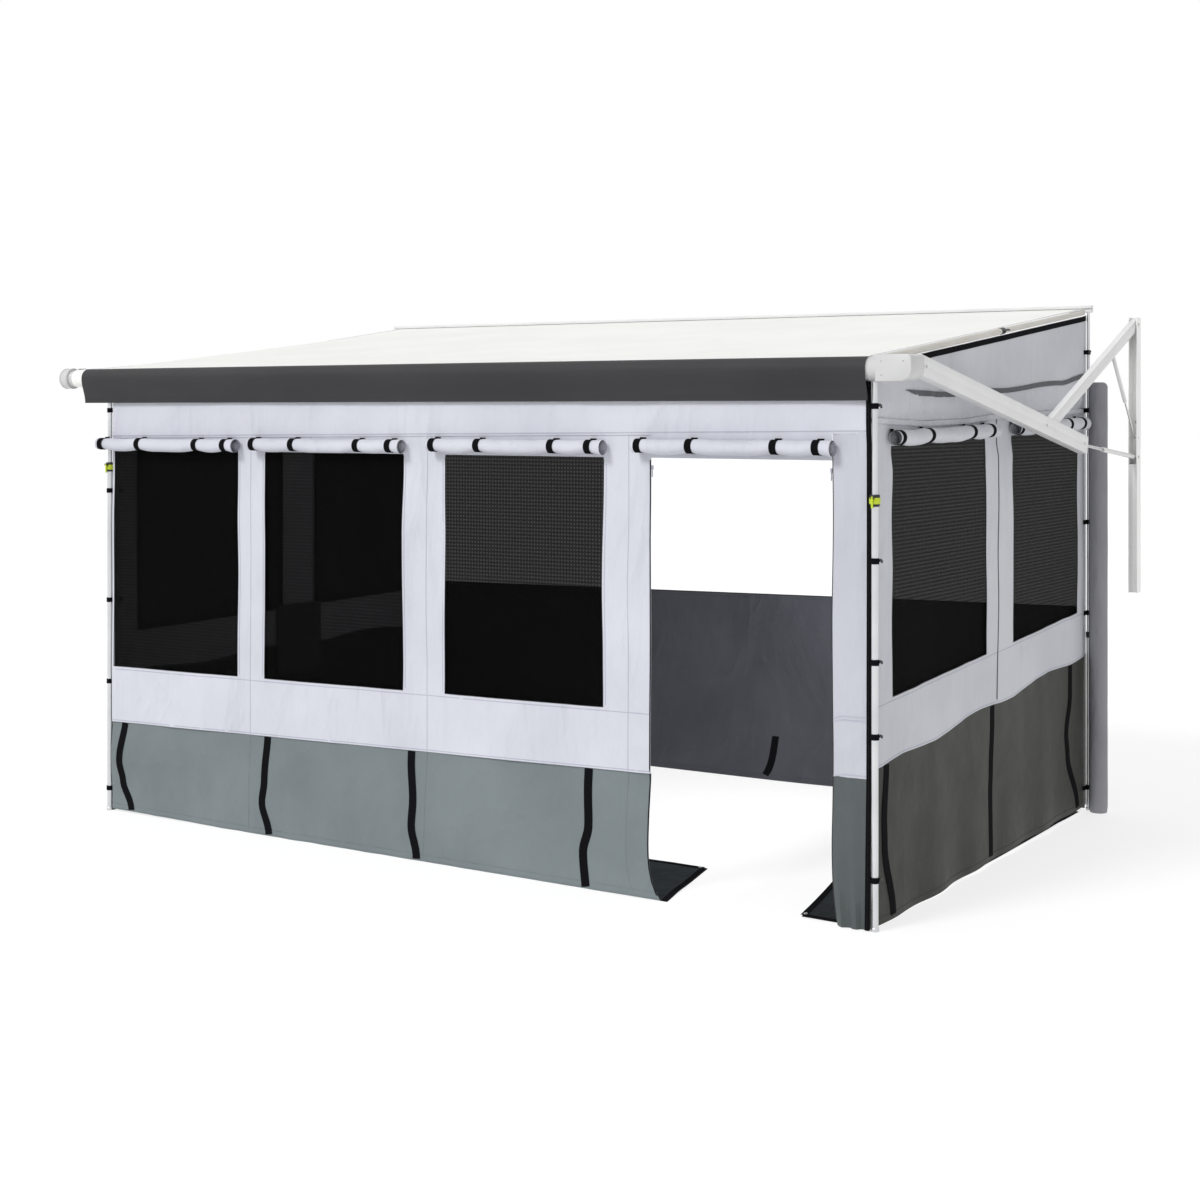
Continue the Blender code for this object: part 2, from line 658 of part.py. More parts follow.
def gas_strut(plane):
    side = plane.side
    span = (plane.gas_foot - plane.gas_head).length
    bore = (GAS_ROD_RADIUS + SLIDING_CLEARANCE, GAS_TUBE_LENGTH - BORE_FLOOR)
    rod_with_eye(
        "gas_tube_" + side, plane, plane.gas_head, plane.gas_run, GAS_TUBE_LENGTH, GAS_TUBE_RADIUS,
        UPPER_ARM_WIDTH - 2 * GAP, white_metal(), bore,
    )
    rod_with_eye(
        "gas_rod_" + side, plane, plane.gas_foot, -plane.gas_run, span - GAS_TUBE_LENGTH + GAS_ROD_OVERLAP,
        GAS_ROD_RADIUS, CHANNEL_WIDTH - 2 * GAP, bare_metal(),
    )


def wall_channel(plane):
    side = plane.side
    half, wall = CHANNEL_WIDTH / 2, CHANNEL_WALL
    front, web = WALL_Y - CHANNEL_DEPTH, WALL_Y - wall
    outline = [(-half, front), (wall - half, front), (wall - half, web), (half - wall, web)]
    outline += [(half - wall, front), (half, front), (half, WALL_Y), (-half, WALL_Y)]
    outline = [(plane.wall_x + x, y) for x, y in outline]
    tall = CHANNEL_TOP - CHANNEL_BOTTOM
    middle = (0, 0, (CHANNEL_TOP + CHANNEL_BOTTOM) / 2)
    curve = flat_outline("wall_channel_" + side, [outline], tall, None, middle, (0, 0, 0), helpers)
    channel = as_mesh(curve, parts)
    channel.data.materials.append(white_metal())
    cuts = bmesh.new()
    for pivot in (plane.upper, plane.lower, plane.gas_foot):
        y = plane.world(pivot).y
        reach = Vector((CHANNEL_WIDTH, 0, 0))
        centre = Vector((plane.wall_x, y, pivot.z))
        add_round_bar(cuts, centre - reach, centre + reach, PIN_RADIUS + TILTED_PIN_CLEARANCE, 12)
    holes = mesh_object("wall_channel_holes_" + side, cuts, None, helpers)
    boolean(channel, hide_helper(holes), "DIFFERENCE")
    return channel


def rounded_corner(corner, radius, start):
    """A quarter turn of points inside a corner, from its start angle onwards."""
    x, z = corner
    turns = {0.0: (-1, -1), -math.pi / 2: (-1, 1)}
    across, up = turns[start]
    return ring_points((x + across * radius, z + up * radius), radius, 5, start, math.pi / 2, False)


def drum_head(side):
    """A drum on a narrower neck, turned about the roller's axis."""
    outer = NECK_LENGTH + LEFT_DRUM_LENGTH
    profile = [(0, outer), (LEFT_DRUM_RADIUS - LEFT_DRUM_EDGE, outer), (LEFT_DRUM_RADIUS, outer - LEFT_DRUM_EDGE)]
    profile += [(LEFT_DRUM_RADIUS, NECK_LENGTH), (NECK_RADIUS, NECK_LENGTH), (NECK_RADIUS, 0), (0, 0)]
    head = turned("roller_head_" + side, profile, white_metal(), ROLLER_STEPS)
    head.location = (OUTWARD[side] * HEAD_START, ROLLER_Y, ROLLER_HEIGHT)
    head.rotation_euler = (0, OUTWARD[side] * math.pi / 2, 0)
    return head


def block_head(side):
    """A drum on the roller's end, and beside it a block whose lower outer corner is well rounded."""
    out = OUTWARD[side]
    inner, outer = HEAD_START + DRUM_LENGTH - SLIDING_CLEARANCE, HEAD_START + HEAD_LENGTH
    low, high = ROLLER_HEIGHT - HEAD_HEIGHT / 2, ROLLER_HEIGHT + HEAD_HEIGHT / 2
    outline = [(inner, high), (inner, low)]
    outline += rounded_corner((outer, low), HEAD_LOWER_ROUND, -math.pi / 2)
    outline += rounded_corner((outer, high), HEAD_UPPER_ROUND, 0.0)
    outline = [(out * x, z) for x, z in outline]
    place = (0, ROLLER_Y, 0)
    curve = flat_outline("roller_head_" + side, [outline], HEAD_DEPTH, None, place, (math.pi / 2, 0, 0), helpers)
    head = as_mesh(curve, parts)
    head.data.materials.append(white_metal())
    edges = head.modifiers.new("rounded_edges", "BEVEL")
    edges.width = HEAD_EDGE_ROUND
    edges.segments = 2
    edges.limit_method = "ANGLE"
    edges.angle_limit = math.radians(50)
    drum = bmesh.new()
    start, end = (out * HEAD_START, ROLLER_Y, ROLLER_HEIGHT), (out * (inner + SPIGOT_SINK), ROLLER_Y, ROLLER_HEIGHT)
    add_round_bar(drum, start, end, DRUM_RADIUS, ROLLER_STEPS)
    boolean(head, hide_helper(mesh_object("drum_" + side, drum, None, helpers)), "UNION")
    return head


def roller_head(plane):
    """A head with the spigot that turns in the roller tube and the lug that carries the main arm."""
    side, out = plane.side, OUTWARD[plane.side]
    head = block_head(side) if side == "r" else drum_head(side)
    back = HEAD_DEPTH / 2 if side == "r" else LEFT_DRUM_RADIUS
    spigot = bmesh.new()
    radius = ROLLER_RADIUS - ROLLER_WALL - SLIDING_CLEARANCE
    start = (out * (HALF_FABRIC - SPIGOT_LENGTH), ROLLER_Y, ROLLER_HEIGHT)
    end = (out * (HEAD_START + SPIGOT_SINK), ROLLER_Y, ROLLER_HEIGHT)
    add_round_bar(spigot, start, end, radius, ROLLER_STEPS)
    boolean(head, hide_helper(mesh_object("spigot_" + side, spigot, None, helpers)), "UNION")
    lug = bmesh.new()
    half, tall = LUG_WIDTH / 2, LUG_HEIGHT / 2
    add_block(lug, (-half, back - LUG_SINK - LUG_PIVOT_OUT, -tall), (half, ARM_END_REACH, tall))
    pin = bmesh.new()
    cross_pin(pin, 0, MAIN_ARM_WIDTH - 2 * GAP)
    for name, tool in (("lug_", lug), ("lug_pin_", pin)):
        helper = hide_helper(mesh_object(name + side, tool, None, helpers))
        plane.hang(helper, plane.head, Vector((0, 1, 0)))
        boolean(head, helper, "UNION")
    return head


# Cloth walls
def front_layout():
    """Places along X of the front wall's panels, windows and doorway."""
    left = SIDE_X["l"] + SKIN / 2 + GAP
    right = SIDE_X["r"] - SKIN / 2 - GAP
    post = right - POST_WIDTH
    door = post - DOOR_WIDTH
    width = (door - left - FRONT_MARGIN - sum(COLUMN_WIDTHS)) / len(COLUMN_WIDTHS)
    windows = []
    at = left + FRONT_MARGIN
    for column in COLUMN_WIDTHS:
        windows.append((at, at + width))
        at += width + column
    return {"left": left, "right": right, "post": post, "door": door, "windows": windows}


def front_band(front):
    low = line(BAND_LOW_LEFT, BAND_LOW_DOOR, front["left"], front["door"])
    sill = line(SILL_LEFT, SILL_DOOR, front["left"], front["door"])
    seam = line(SEAM_LEFT, SEAM_RIGHT, front["left"], front["right"])
    return low, sill, seam


def foot_stand(x, front):
    """How far the foot of the front skirt stands out, growing from the left corner to the doorway."""
    return SKIRT_STAND * (x - front["left"]) / (front["door"] - front["left"])


def upright(x, z):
    return Vector((x, ROLLER_Y - SKIN / 2, z))


def front_walls(front):
    low, sill, seam = front_band(front)
    thick = Vector((0, SKIN, 0))
    bounds = [front["left"]]
    for start, end in front["windows"]:
        bounds += [start, end]
    bounds.append(front["door"] - GAP)

    def in_window(x, row):
        return row == 1 and any(start < x < end for start, end in front["windows"])

    def off_door(x, row):
        return row == 0 and not front["door"] < x < front["post"]

    cloth(
        "front_window_panel", stations(*bounds, step=PANEL_STEP), [low, sill, level(WINDOW_HEAD), seam], upright, thick,
        white_cloth(), in_window,
    )
    cloth(
        "front_header", stations(front["left"], front["door"], front["post"], front["right"], step=PANEL_STEP),
        [level(WINDOW_HEAD), lambda x: seam(x) + GAP, level(HEADER_TOP)], upright, thick, white_cloth(), off_door,
    )

    def skirt_place(x, z):
        share = 1 - z / low(x)
        pleat = FOLD_DEPTH * fold(x, front["left"], front["door"]) * math.sin(math.pi * min(1, 1.3 * share))
        out = foot_stand(x, front) * share**1.5 + max(0, pleat)
        return Vector((x, ROLLER_Y - SKIN / 2 - out, z))

    heights = [lambda x, k=k: (low(x) - GAP) * k / 4 for k in range(5)]
    cloth("front_skirt", stations(front["left"], front["door"] - GAP), heights, skirt_place, thick, grey_cloth())
    heights = [level(0.0), level(WINDOW_HEAD), lambda x: seam(x)]
    cloth("door_post_panel", [front["post"] + GAP, front["right"]], heights, upright, thick, white_cloth())
    behind = Vector((0, SKIN + GAP, 0))
    first, last = front["windows"][0][0] - SCREEN_LEFT_LAP, front["windows"][-1][1] + SCREEN_LAP
    heights = [lambda x: sill(x) - SCREEN_LAP, level(WINDOW_HEAD + SCREEN_LAP)]
    cloth(
        "front_screen", [first, last], heights, lambda x, z: upright(x, z) + behind, Vector((0, SCREEN_SKIN, 0)),
        screen_cloth(),
    )


def side_layout():
    """Places along Y of a side wall's windows."""
    front, rear = ROLLER_Y - SKIN / 2, WALL_Y - SIDE_REAR_CLEARANCE
    start, end = front + SIDE_FRONT_MARGIN, rear - SIDE_REAR_MARGIN
    split = start + (end - start - SIDE_COLUMN) * FIRST_SIDE_WINDOW_SHARE
    return {"front": front, "rear": rear, "windows": [(start, split), (split + SIDE_COLUMN, end)]}


def side_head(y):
    return SIDE_WINDOW_HEAD + SIDE_HEAD_RISE * (y - ROLLER_Y)


def side_levels(side):
    band = SIDE_BANDS[side]
    low = lambda y: band["low"] + band["low_rise"] * (y - ROLLER_Y)
    sill = lambda y: band["sill"] + band["sill_rise"] * (y - ROLLER_Y)
    return low, sill


def pole_loop(side, pole, z):
    """A webbing loop round a pole, with a tab that runs into the side wall."""
    tube = pole_radius(pole, z)
    inner, outer = tube + LOOP_CLEARANCE, tube + LOOP_CLEARANCE + LOOP_THICKNESS
    half = LOOP_TAB / 2
    turn = math.asin(half / outer)
    reach = WALL_INSET + SKIN / 4
    outline = ring_points((0, 0), outer, 12, math.pi + turn, 2 * (math.pi - turn), False)
    outline += [(-reach, half), (-reach, -half)]
    hole = ring_points((0, 0), inner, 12)
    flip = OUTWARD[side]
    centre = Vector((POLE_X[side], POLE_Y[pole["row"]], z))
    loops = [[(flip * x, y) for x, y in loop] for loop in (outline, hole)]
    name = "loop_{}_{}_{:.0f}".format(side, pole["row"], 1000 * z)
    return flat_outline(name, loops, LOOP_HEIGHT, None, centre, (0, 0, 0), helpers)


def side_wall(side):
    layout = side_layout()
    front, rear = layout["front"], layout["rear"]
    low, sill = side_levels(side)
    out = OUTWARD[side]
    corner = ROLLER_Y + ROLLER_RADIUS + VALANCE_SKIN + GAP
    bounds = [front, corner, corner + SIDE_CORNER_WIDTH]
    for start, end in layout["windows"]:
        bounds += [start, end]
    bounds.append(rear)

    def top(y):
        return HEADER_TOP if y < corner + GAP else side_rail_underside(y)

    def wall_place(y, z):
        start = sill(y) - FOLD_START
        fall = min(max((start - z) / (start - low(y)), 0), 1)
        stand = FOLD_DEPTH * fold(y, front, rear) * fall
        return Vector((SIDE_X[side] + out * (stand + SKIN / 2), y, z))

    def skirt_place(y, z):
        share = z / low(y)
        stand = FOLD_DEPTH * fold(y, front, rear) * (0.35 + 0.65 * share)
        return Vector((SIDE_X[side] + out * (stand + SKIN / 2), y, z))

    def in_window(y, row):
        return row == 2 and any(start < y < end for start, end in layout["windows"])

    thick = Vector((-out * SKIN, 0, 0))
    heights = [low, lambda y: sill(y) - FOLD_START, sill, side_head, top]
    wall = cloth("side_wall_" + side, stations(*bounds), heights, wall_place, thick, white_cloth(), in_window)
    heights = [lambda y, k=k: (low(y) - GAP) * k / 4 for k in range(5)]
    skirt = cloth("side_skirt_" + side, stations(front, rear), heights, skirt_place, thick, grey_cloth())
    for pole in POLES.values():
        if pole["side"] != side:
            continue
        split = low(POLE_Y[pole["row"]])
        for z in (pole_top(pole) - pole["top_loop"], *pole["loops"]):
            boolean(wall if z > split else skirt, hide_helper(as_mesh(pole_loop(side, pole, z))), "UNION")
    inner = -out * (SKIN + GAP)
    first, last = layout["windows"][0][0] - SCREEN_LAP, layout["windows"][1][1] + SCREEN_LAP
    heights = [lambda y: sill(y) - SCREEN_LAP, lambda y: side_head(y) + SCREEN_LAP]
    cloth(
        "side_screen_" + side, [first, last], heights,
        lambda y, z: Vector((SIDE_X[side] + out * SKIN / 2 + inner, y, z)), Vector((-out * SCREEN_SKIN, 0, 0)),
        screen_cloth(),
    )


# Rolled covers
def roll(name, start, end):
    """A rolled cover between two points, drawn in where its straps hold it."""
    start, end = Vector(start), Vector(end)
    length = (end - start).length
    profile = [(0, length), (ROLL_RADIUS, length)]
    for share in reversed(STRAP_SHARES):
        at = length * share
        profile += [(ROLL_RADIUS, at + ROLL_PINCH_REACH), (ROLL_RADIUS - ROLL_PINCH, at)]
        profile.append((ROLL_RADIUS, at - ROLL_PINCH_REACH))
    profile = [point for point in profile if -1e-9 < point[1] <= length + 1e-9]
    profile += [(ROLL_RADIUS, 0), (0, 0)]
    cover = turned(name, profile, white_cloth(), ROLL_STEPS)
    cover.location = start
    cover.rotation_euler = (end - start).to_track_quat("Z", "Y").to_euler()
    return cover


def rolled_covers(front):
    y = ROLLER_Y - SKIN / 2 - GAP - ROLL_RADIUS
    rise = line(ROLL_RISE_LEFT, ROLL_RISE_RIGHT, front["left"], front["right"])
    first_free = POLE_X["l"] + FRONT_TUBE_RADIUS + LOOP_CLEARANCE + LOOP_THICKNESS
    places = front["windows"] + [(front["door"], front["post"])]
    names = ["window_roll_1", "window_roll_2", "window_roll_3", "door_roll"]
    for name, (start, end) in zip(names, places):
        z = WINDOW_HEAD + rise((start + end) / 2)
        roll(name, (max(first_free, start - ROLL_LEFT_LAP), y, z), (end + ROLL_RIGHT_LAP, y, z))
    for side, out in OUTWARD.items():
        x = SIDE_X[side] + out * (SKIN / 2 + GAP + ROLL_RADIUS)
        for name, (start, end) in zip("ab", side_layout()["windows"]):
            first, last = start - SIDE_ROLL_LAP, end + SIDE_ROLL_LAP
            heights = [side_head(at) + ROLL_RADIUS for at in (first, last)]
            roll("side_roll_{}_{}".format(side, name), (x, first, heights[0]), (x, last, heights[1]))


# Poles
def pole_sizes(pole):
    if pole["row"] == "front":
        return FRONT_TUBE_RADIUS, FRONT_INNER_RADIUS, COLLAR_FLARE, COLLAR_HEIGHT
    return REAR_TUBE_RADIUS, REAR_INNER_RADIUS, REAR_COLLAR_FLARE, REAR_COLLAR_HEIGHT


def pole_radius(pole, z):
    outer, inner, _, _ = pole_sizes(pole)
    return outer if z < pole["collar"] else inner


def pole_top(pole):
    if pole["row"] == "rear":
        return RAIL_HEIGHT - RAIL_TALL / 2 - GAP
    if pole["side"] == "r":
        return ROLLER_HEIGHT - max(DRUM_RADIUS, HEAD_HEIGHT / 2) - GAP
    return ROLLER_HEIGHT - ROLLER_RADIUS - GAP


def telescopic_pole(name, pole):
    outer, inner, flare, collar_height = pole_sizes(pole)
    bore = inner + SLIDING_CLEARANCE
    collar = pole["collar"]
    top, foot, ledge = collar + collar_height / 2, FOOT_HEIGHT, collar - collar_height / 2
    profile = [(bore, top), (outer + flare, top), (outer + flare, ledge), (outer, ledge - flare)]
    profile += [(outer, foot), (outer + FOOT_FLARE, foot), (outer + FOOT_FLARE, 0), (0, 0), (0, foot), (bore, foot)]
    place = Vector((POLE_X[pole["side"]], POLE_Y[pole["row"]], 0))
    lower = turned("pole_lower_" + name, profile, bare_metal())
    lower.location = place
    height = pole_top(pole)
    tail = collar - TUBE_OVERLAP
    wall = inner - TUBE_WALL
    profile = [(0, height), (inner, height), (inner, tail), (wall, tail), (wall, height - CUT_OVERRUN)]
    profile.append((0, height - CUT_OVERRUN))
    upper = turned("pole_upper_" + name, profile, bare_metal())
    upper.location = place
    if pole["row"] == "front":
        clamp_lever(name, pole, lower)


def clamp_lever(name, pole, lower):
    x, y = POLE_X[pole["side"]], POLE_Y[pole["row"]]
    face = y - FRONT_TUBE_RADIUS - COLLAR_FLARE
    pivot = Vector((x, face - EAR_REACH + EAR_SINK, pole["collar"] + LEVER_PIVOT_RISE))
    half = LEVER_WIDTH / 2 + GAP
    ears = bmesh.new()
    for sign in (-1, 1):
        inner, outer = sign * half, sign * (half + EAR_THICKNESS)
        low = (x + min(inner, outer), face - EAR_REACH, pivot.z - EAR_HEIGHT / 2)
        add_block(ears, low, (x + max(inner, outer), face + EAR_SINK, pivot.z + EAR_HEIGHT / 2))
    width = half + EAR_THICKNESS
    holes = bmesh.new()
    reach = Vector((2 * width, 0, 0))
    add_round_bar(holes, pivot - reach, pivot + reach, LEVER_PIN_RADIUS + PIN_CLEARANCE, 10)
    boolean(lower, hide_helper(mesh_object("ears_" + name, ears, None, helpers)), "UNION")
    boolean(lower, hide_helper(mesh_object("ear_holes_" + name, holes, None, helpers)), "DIFFERENCE")
    shape = bmesh.new()
    depth = LEVER_DEPTH / 2
    add_block(shape, (-LEVER_WIDTH / 2, -depth, -LEVER_LENGTH), (LEVER_WIDTH / 2, depth, LEVER_NOSE))
    bmesh.ops.bevel(shape, geom=shape.edges[:], offset=LEVER_EDGE, segments=1, affect="EDGES")
    lever = mesh_object("clamp_lever_" + name, shape, material("lever", (0.55, 0.66, 0.03), 0.4))
    lever.location = pivot
    pin = bmesh.new()
    add_round_bar(pin, (-width, 0, 0), (width, 0, 0), LEVER_PIN_RADIUS, 10)
    pin_tool = hide_helper(mesh_object("lever_pin_" + name, pin, None, helpers))
    pin_tool.location = pivot
    boolean(lever, pin_tool, "UNION")


# Pads, pocket, draught skirt, ground flaps and zip sliders
def wall_pad(side):
    reach = REAR_TUBE_RADIUS + max(REAR_COLLAR_FLARE, LOOP_CLEARANCE + LOOP_THICKNESS) + PAD_CLEARANCE + PAD_RADIUS
    out = math.sqrt(reach**2 - (PAD_RADIUS - REAR_POLE_FROM_WALL) ** 2)
    x = POLE_X[side] + OUTWARD[side] * out
    profile = [(0, PAD_HEIGHT)]
    for k in range(1, 5):
        turn = math.pi / 2 * k / 4
        across, up = PAD_DOME * (math.sin(turn) - 1), PAD_DOME * (math.cos(turn) - 1)
        profile.append((PAD_RADIUS + across, PAD_HEIGHT + up))
    profile += [(PAD_RADIUS, 0), (0, 0)]
    pad = turned("wall_pad_" + side, profile, material("pad_cloth", (0.13, 0.13, 0.14), 0.8), 20)
    pad.location = (x, WALL_Y - PAD_RADIUS, 0)


def organiser_pocket():
    inner = SIDE_X["l"] + SKIN / 2 + SCREEN_SKIN + 2 * GAP
    start = ROLLER_Y + POCKET_FROM_FRONT
    shape = bmesh.new()
    low = (inner, start, POCKET_TOP - POCKET_HEIGHT)
    add_block(shape, low, (inner + POCKET_DEPTH, start + POCKET_WIDTH, POCKET_TOP))
    top_edges = [e for e in shape.edges if all(v.co.x > inner + POCKET_DEPTH / 2 for v in e.verts)]
    bmesh.ops.bevel(shape, geom=top_edges, offset=POCKET_ROUND, segments=2, affect="EDGES")
    mesh_object("organiser_pocket", shape, dark_cloth())


def draught_skirt():
    left, right = SIDE_X["l"] + SKIN / 2 + GAP, SIDE_X["r"] - SKIN / 2 - GAP
    y = WALL_Y - DRAUGHT_SKIRT_SETBACK

    tall = DRAUGHT_SKIRT_HEIGHT - DRAUGHT_SKIRT_FOOT

    def place(x, z):
        share = (z - DRAUGHT_SKIRT_FOOT) / tall
        return Vector((x, y - SKIN - FOLD_DEPTH * fold(x, left, right, DRAUGHT_FOLD_PITCH) * math.sin(math.pi * share), z))

    heights = [level(DRAUGHT_SKIRT_FOOT + tall * k / 4) for k in range(5)]
    cloth("draught_skirt", stations(left, right, step=DRAUGHT_STEP), heights, place, Vector((0, SKIN, 0)), dark_cloth())


def ground_flap(name, outline, start, turn=0.0):
    """A flap that lies on the ground, drawn from its sewn edge. Its upper corner there is its hinge."""
    seam = bpy.data.objects.new(name + "_seam", None)
    helpers.objects.link(seam)
    seam.location = start + Vector((0, 0, SKIN))
    seam.rotation_euler = (0, 0, turn)
    flap = flat_outline(name, [outline], SKIN, dark_cloth(), (0, 0, -SKIN / 2), (0, 0, 0))
    flap.parent = seam


def ground_flaps(front):
    layout = side_layout()
    edge = ROLLER_Y + SKIN / 2 + FLAP_CLEARANCE
    turn = -math.atan2(SKIRT_STAND, front["door"] - front["left"])
    start, end = FLAP_SIDE_DEPTH + FLAP_CORNER_CLEARANCE, front["door"] - front["left"] - GAP
    corners = [(start, 0), (end, 0), (end - FLAP_SLANT, FLAP_DEPTH), (start + FLAP_SLANT, FLAP_DEPTH)]
    ground_flap("ground_flap_front", corners, Vector((front["left"], edge, 0)), turn)
    low, high = layout["front"] + FLAP_FRONT_CLEARANCE, layout["rear"] - FLAP_REAR_CLEARANCE
    for side, out in OUTWARD.items():
        x = SIDE_X[side] - out * (SKIN / 2 + GAP)
        corners = [(0, low), (-out * FLAP_SIDE_DEPTH, low), (-out * FLAP_DEPTH, low + FLAP_WIDEST_AT)]
        corners += [(-out * FLAP_DEPTH, high - FLAP_SLANT), (0, high)]
        ground_flap("ground_flap_" + side, corners, Vector((x, 0, 0)))


def zip_slider(name, x, out):
    z = WINDOW_HEAD - SLIDER_BELOW_HEAD
    low, high = (x, x + out * SLIDER_WIDTH) if out > 0 else (x + out * SLIDER_WIDTH, x)
    shape = bmesh.new()
    half = SLIDER_DEPTH / 2
    add_block(shape, (low, ROLLER_Y - half, z - SLIDER_HEIGHT), (high, ROLLER_Y + half, z))
    bmesh.ops.bevel(shape, geom=shape.edges[:], offset=SLIDER_EDGE, segments=1, affect="EDGES")
    slider = mesh_object(name, shape, material("slider", (0.02, 0.02, 0.02), 0.4))
    pull = bmesh.new()
    middle, face, top = (low + high) / 2, ROLLER_Y - half + LEVER_EDGE, z - SLIDER_HEIGHT + PULL_LAP
    add_block(
        pull, (middle - PULL_WIDTH / 2, face, top - PULL_LENGTH),
        (middle + PULL_WIDTH / 2, face + PULL_THICKNESS, top),
    )
    boolean(slider, hide_helper(mesh_object(name + "_pull", pull, None, helpers)), "UNION")


def build():
    clear_scene()
    awning_rail()
    roof_fabric()
    roller_tube()
    roller_valance()
    for side in OUTWARD:
        side_rail(side)
        plane = ArmPlane(side)
        roller_head(plane)
        wall_channel(plane)
        main_arm(plane)
        upper_arm(plane)
        lower_link(plane)
        gas_strut(plane)
        side_wall(side)
        wall_pad(side)
    front = front_layout()
    front_walls(front)
    rolled_covers(front)
    for name, pole in POLES.items():
        telescopic_pole(name, pole)
    organiser_pocket()
    draught_skirt()
    ground_flaps(front)
    zip_slider("zip_slider_l", front["door"] + GAP, 1)
    zip_slider("zip_slider_r", front["post"], -1)


build()
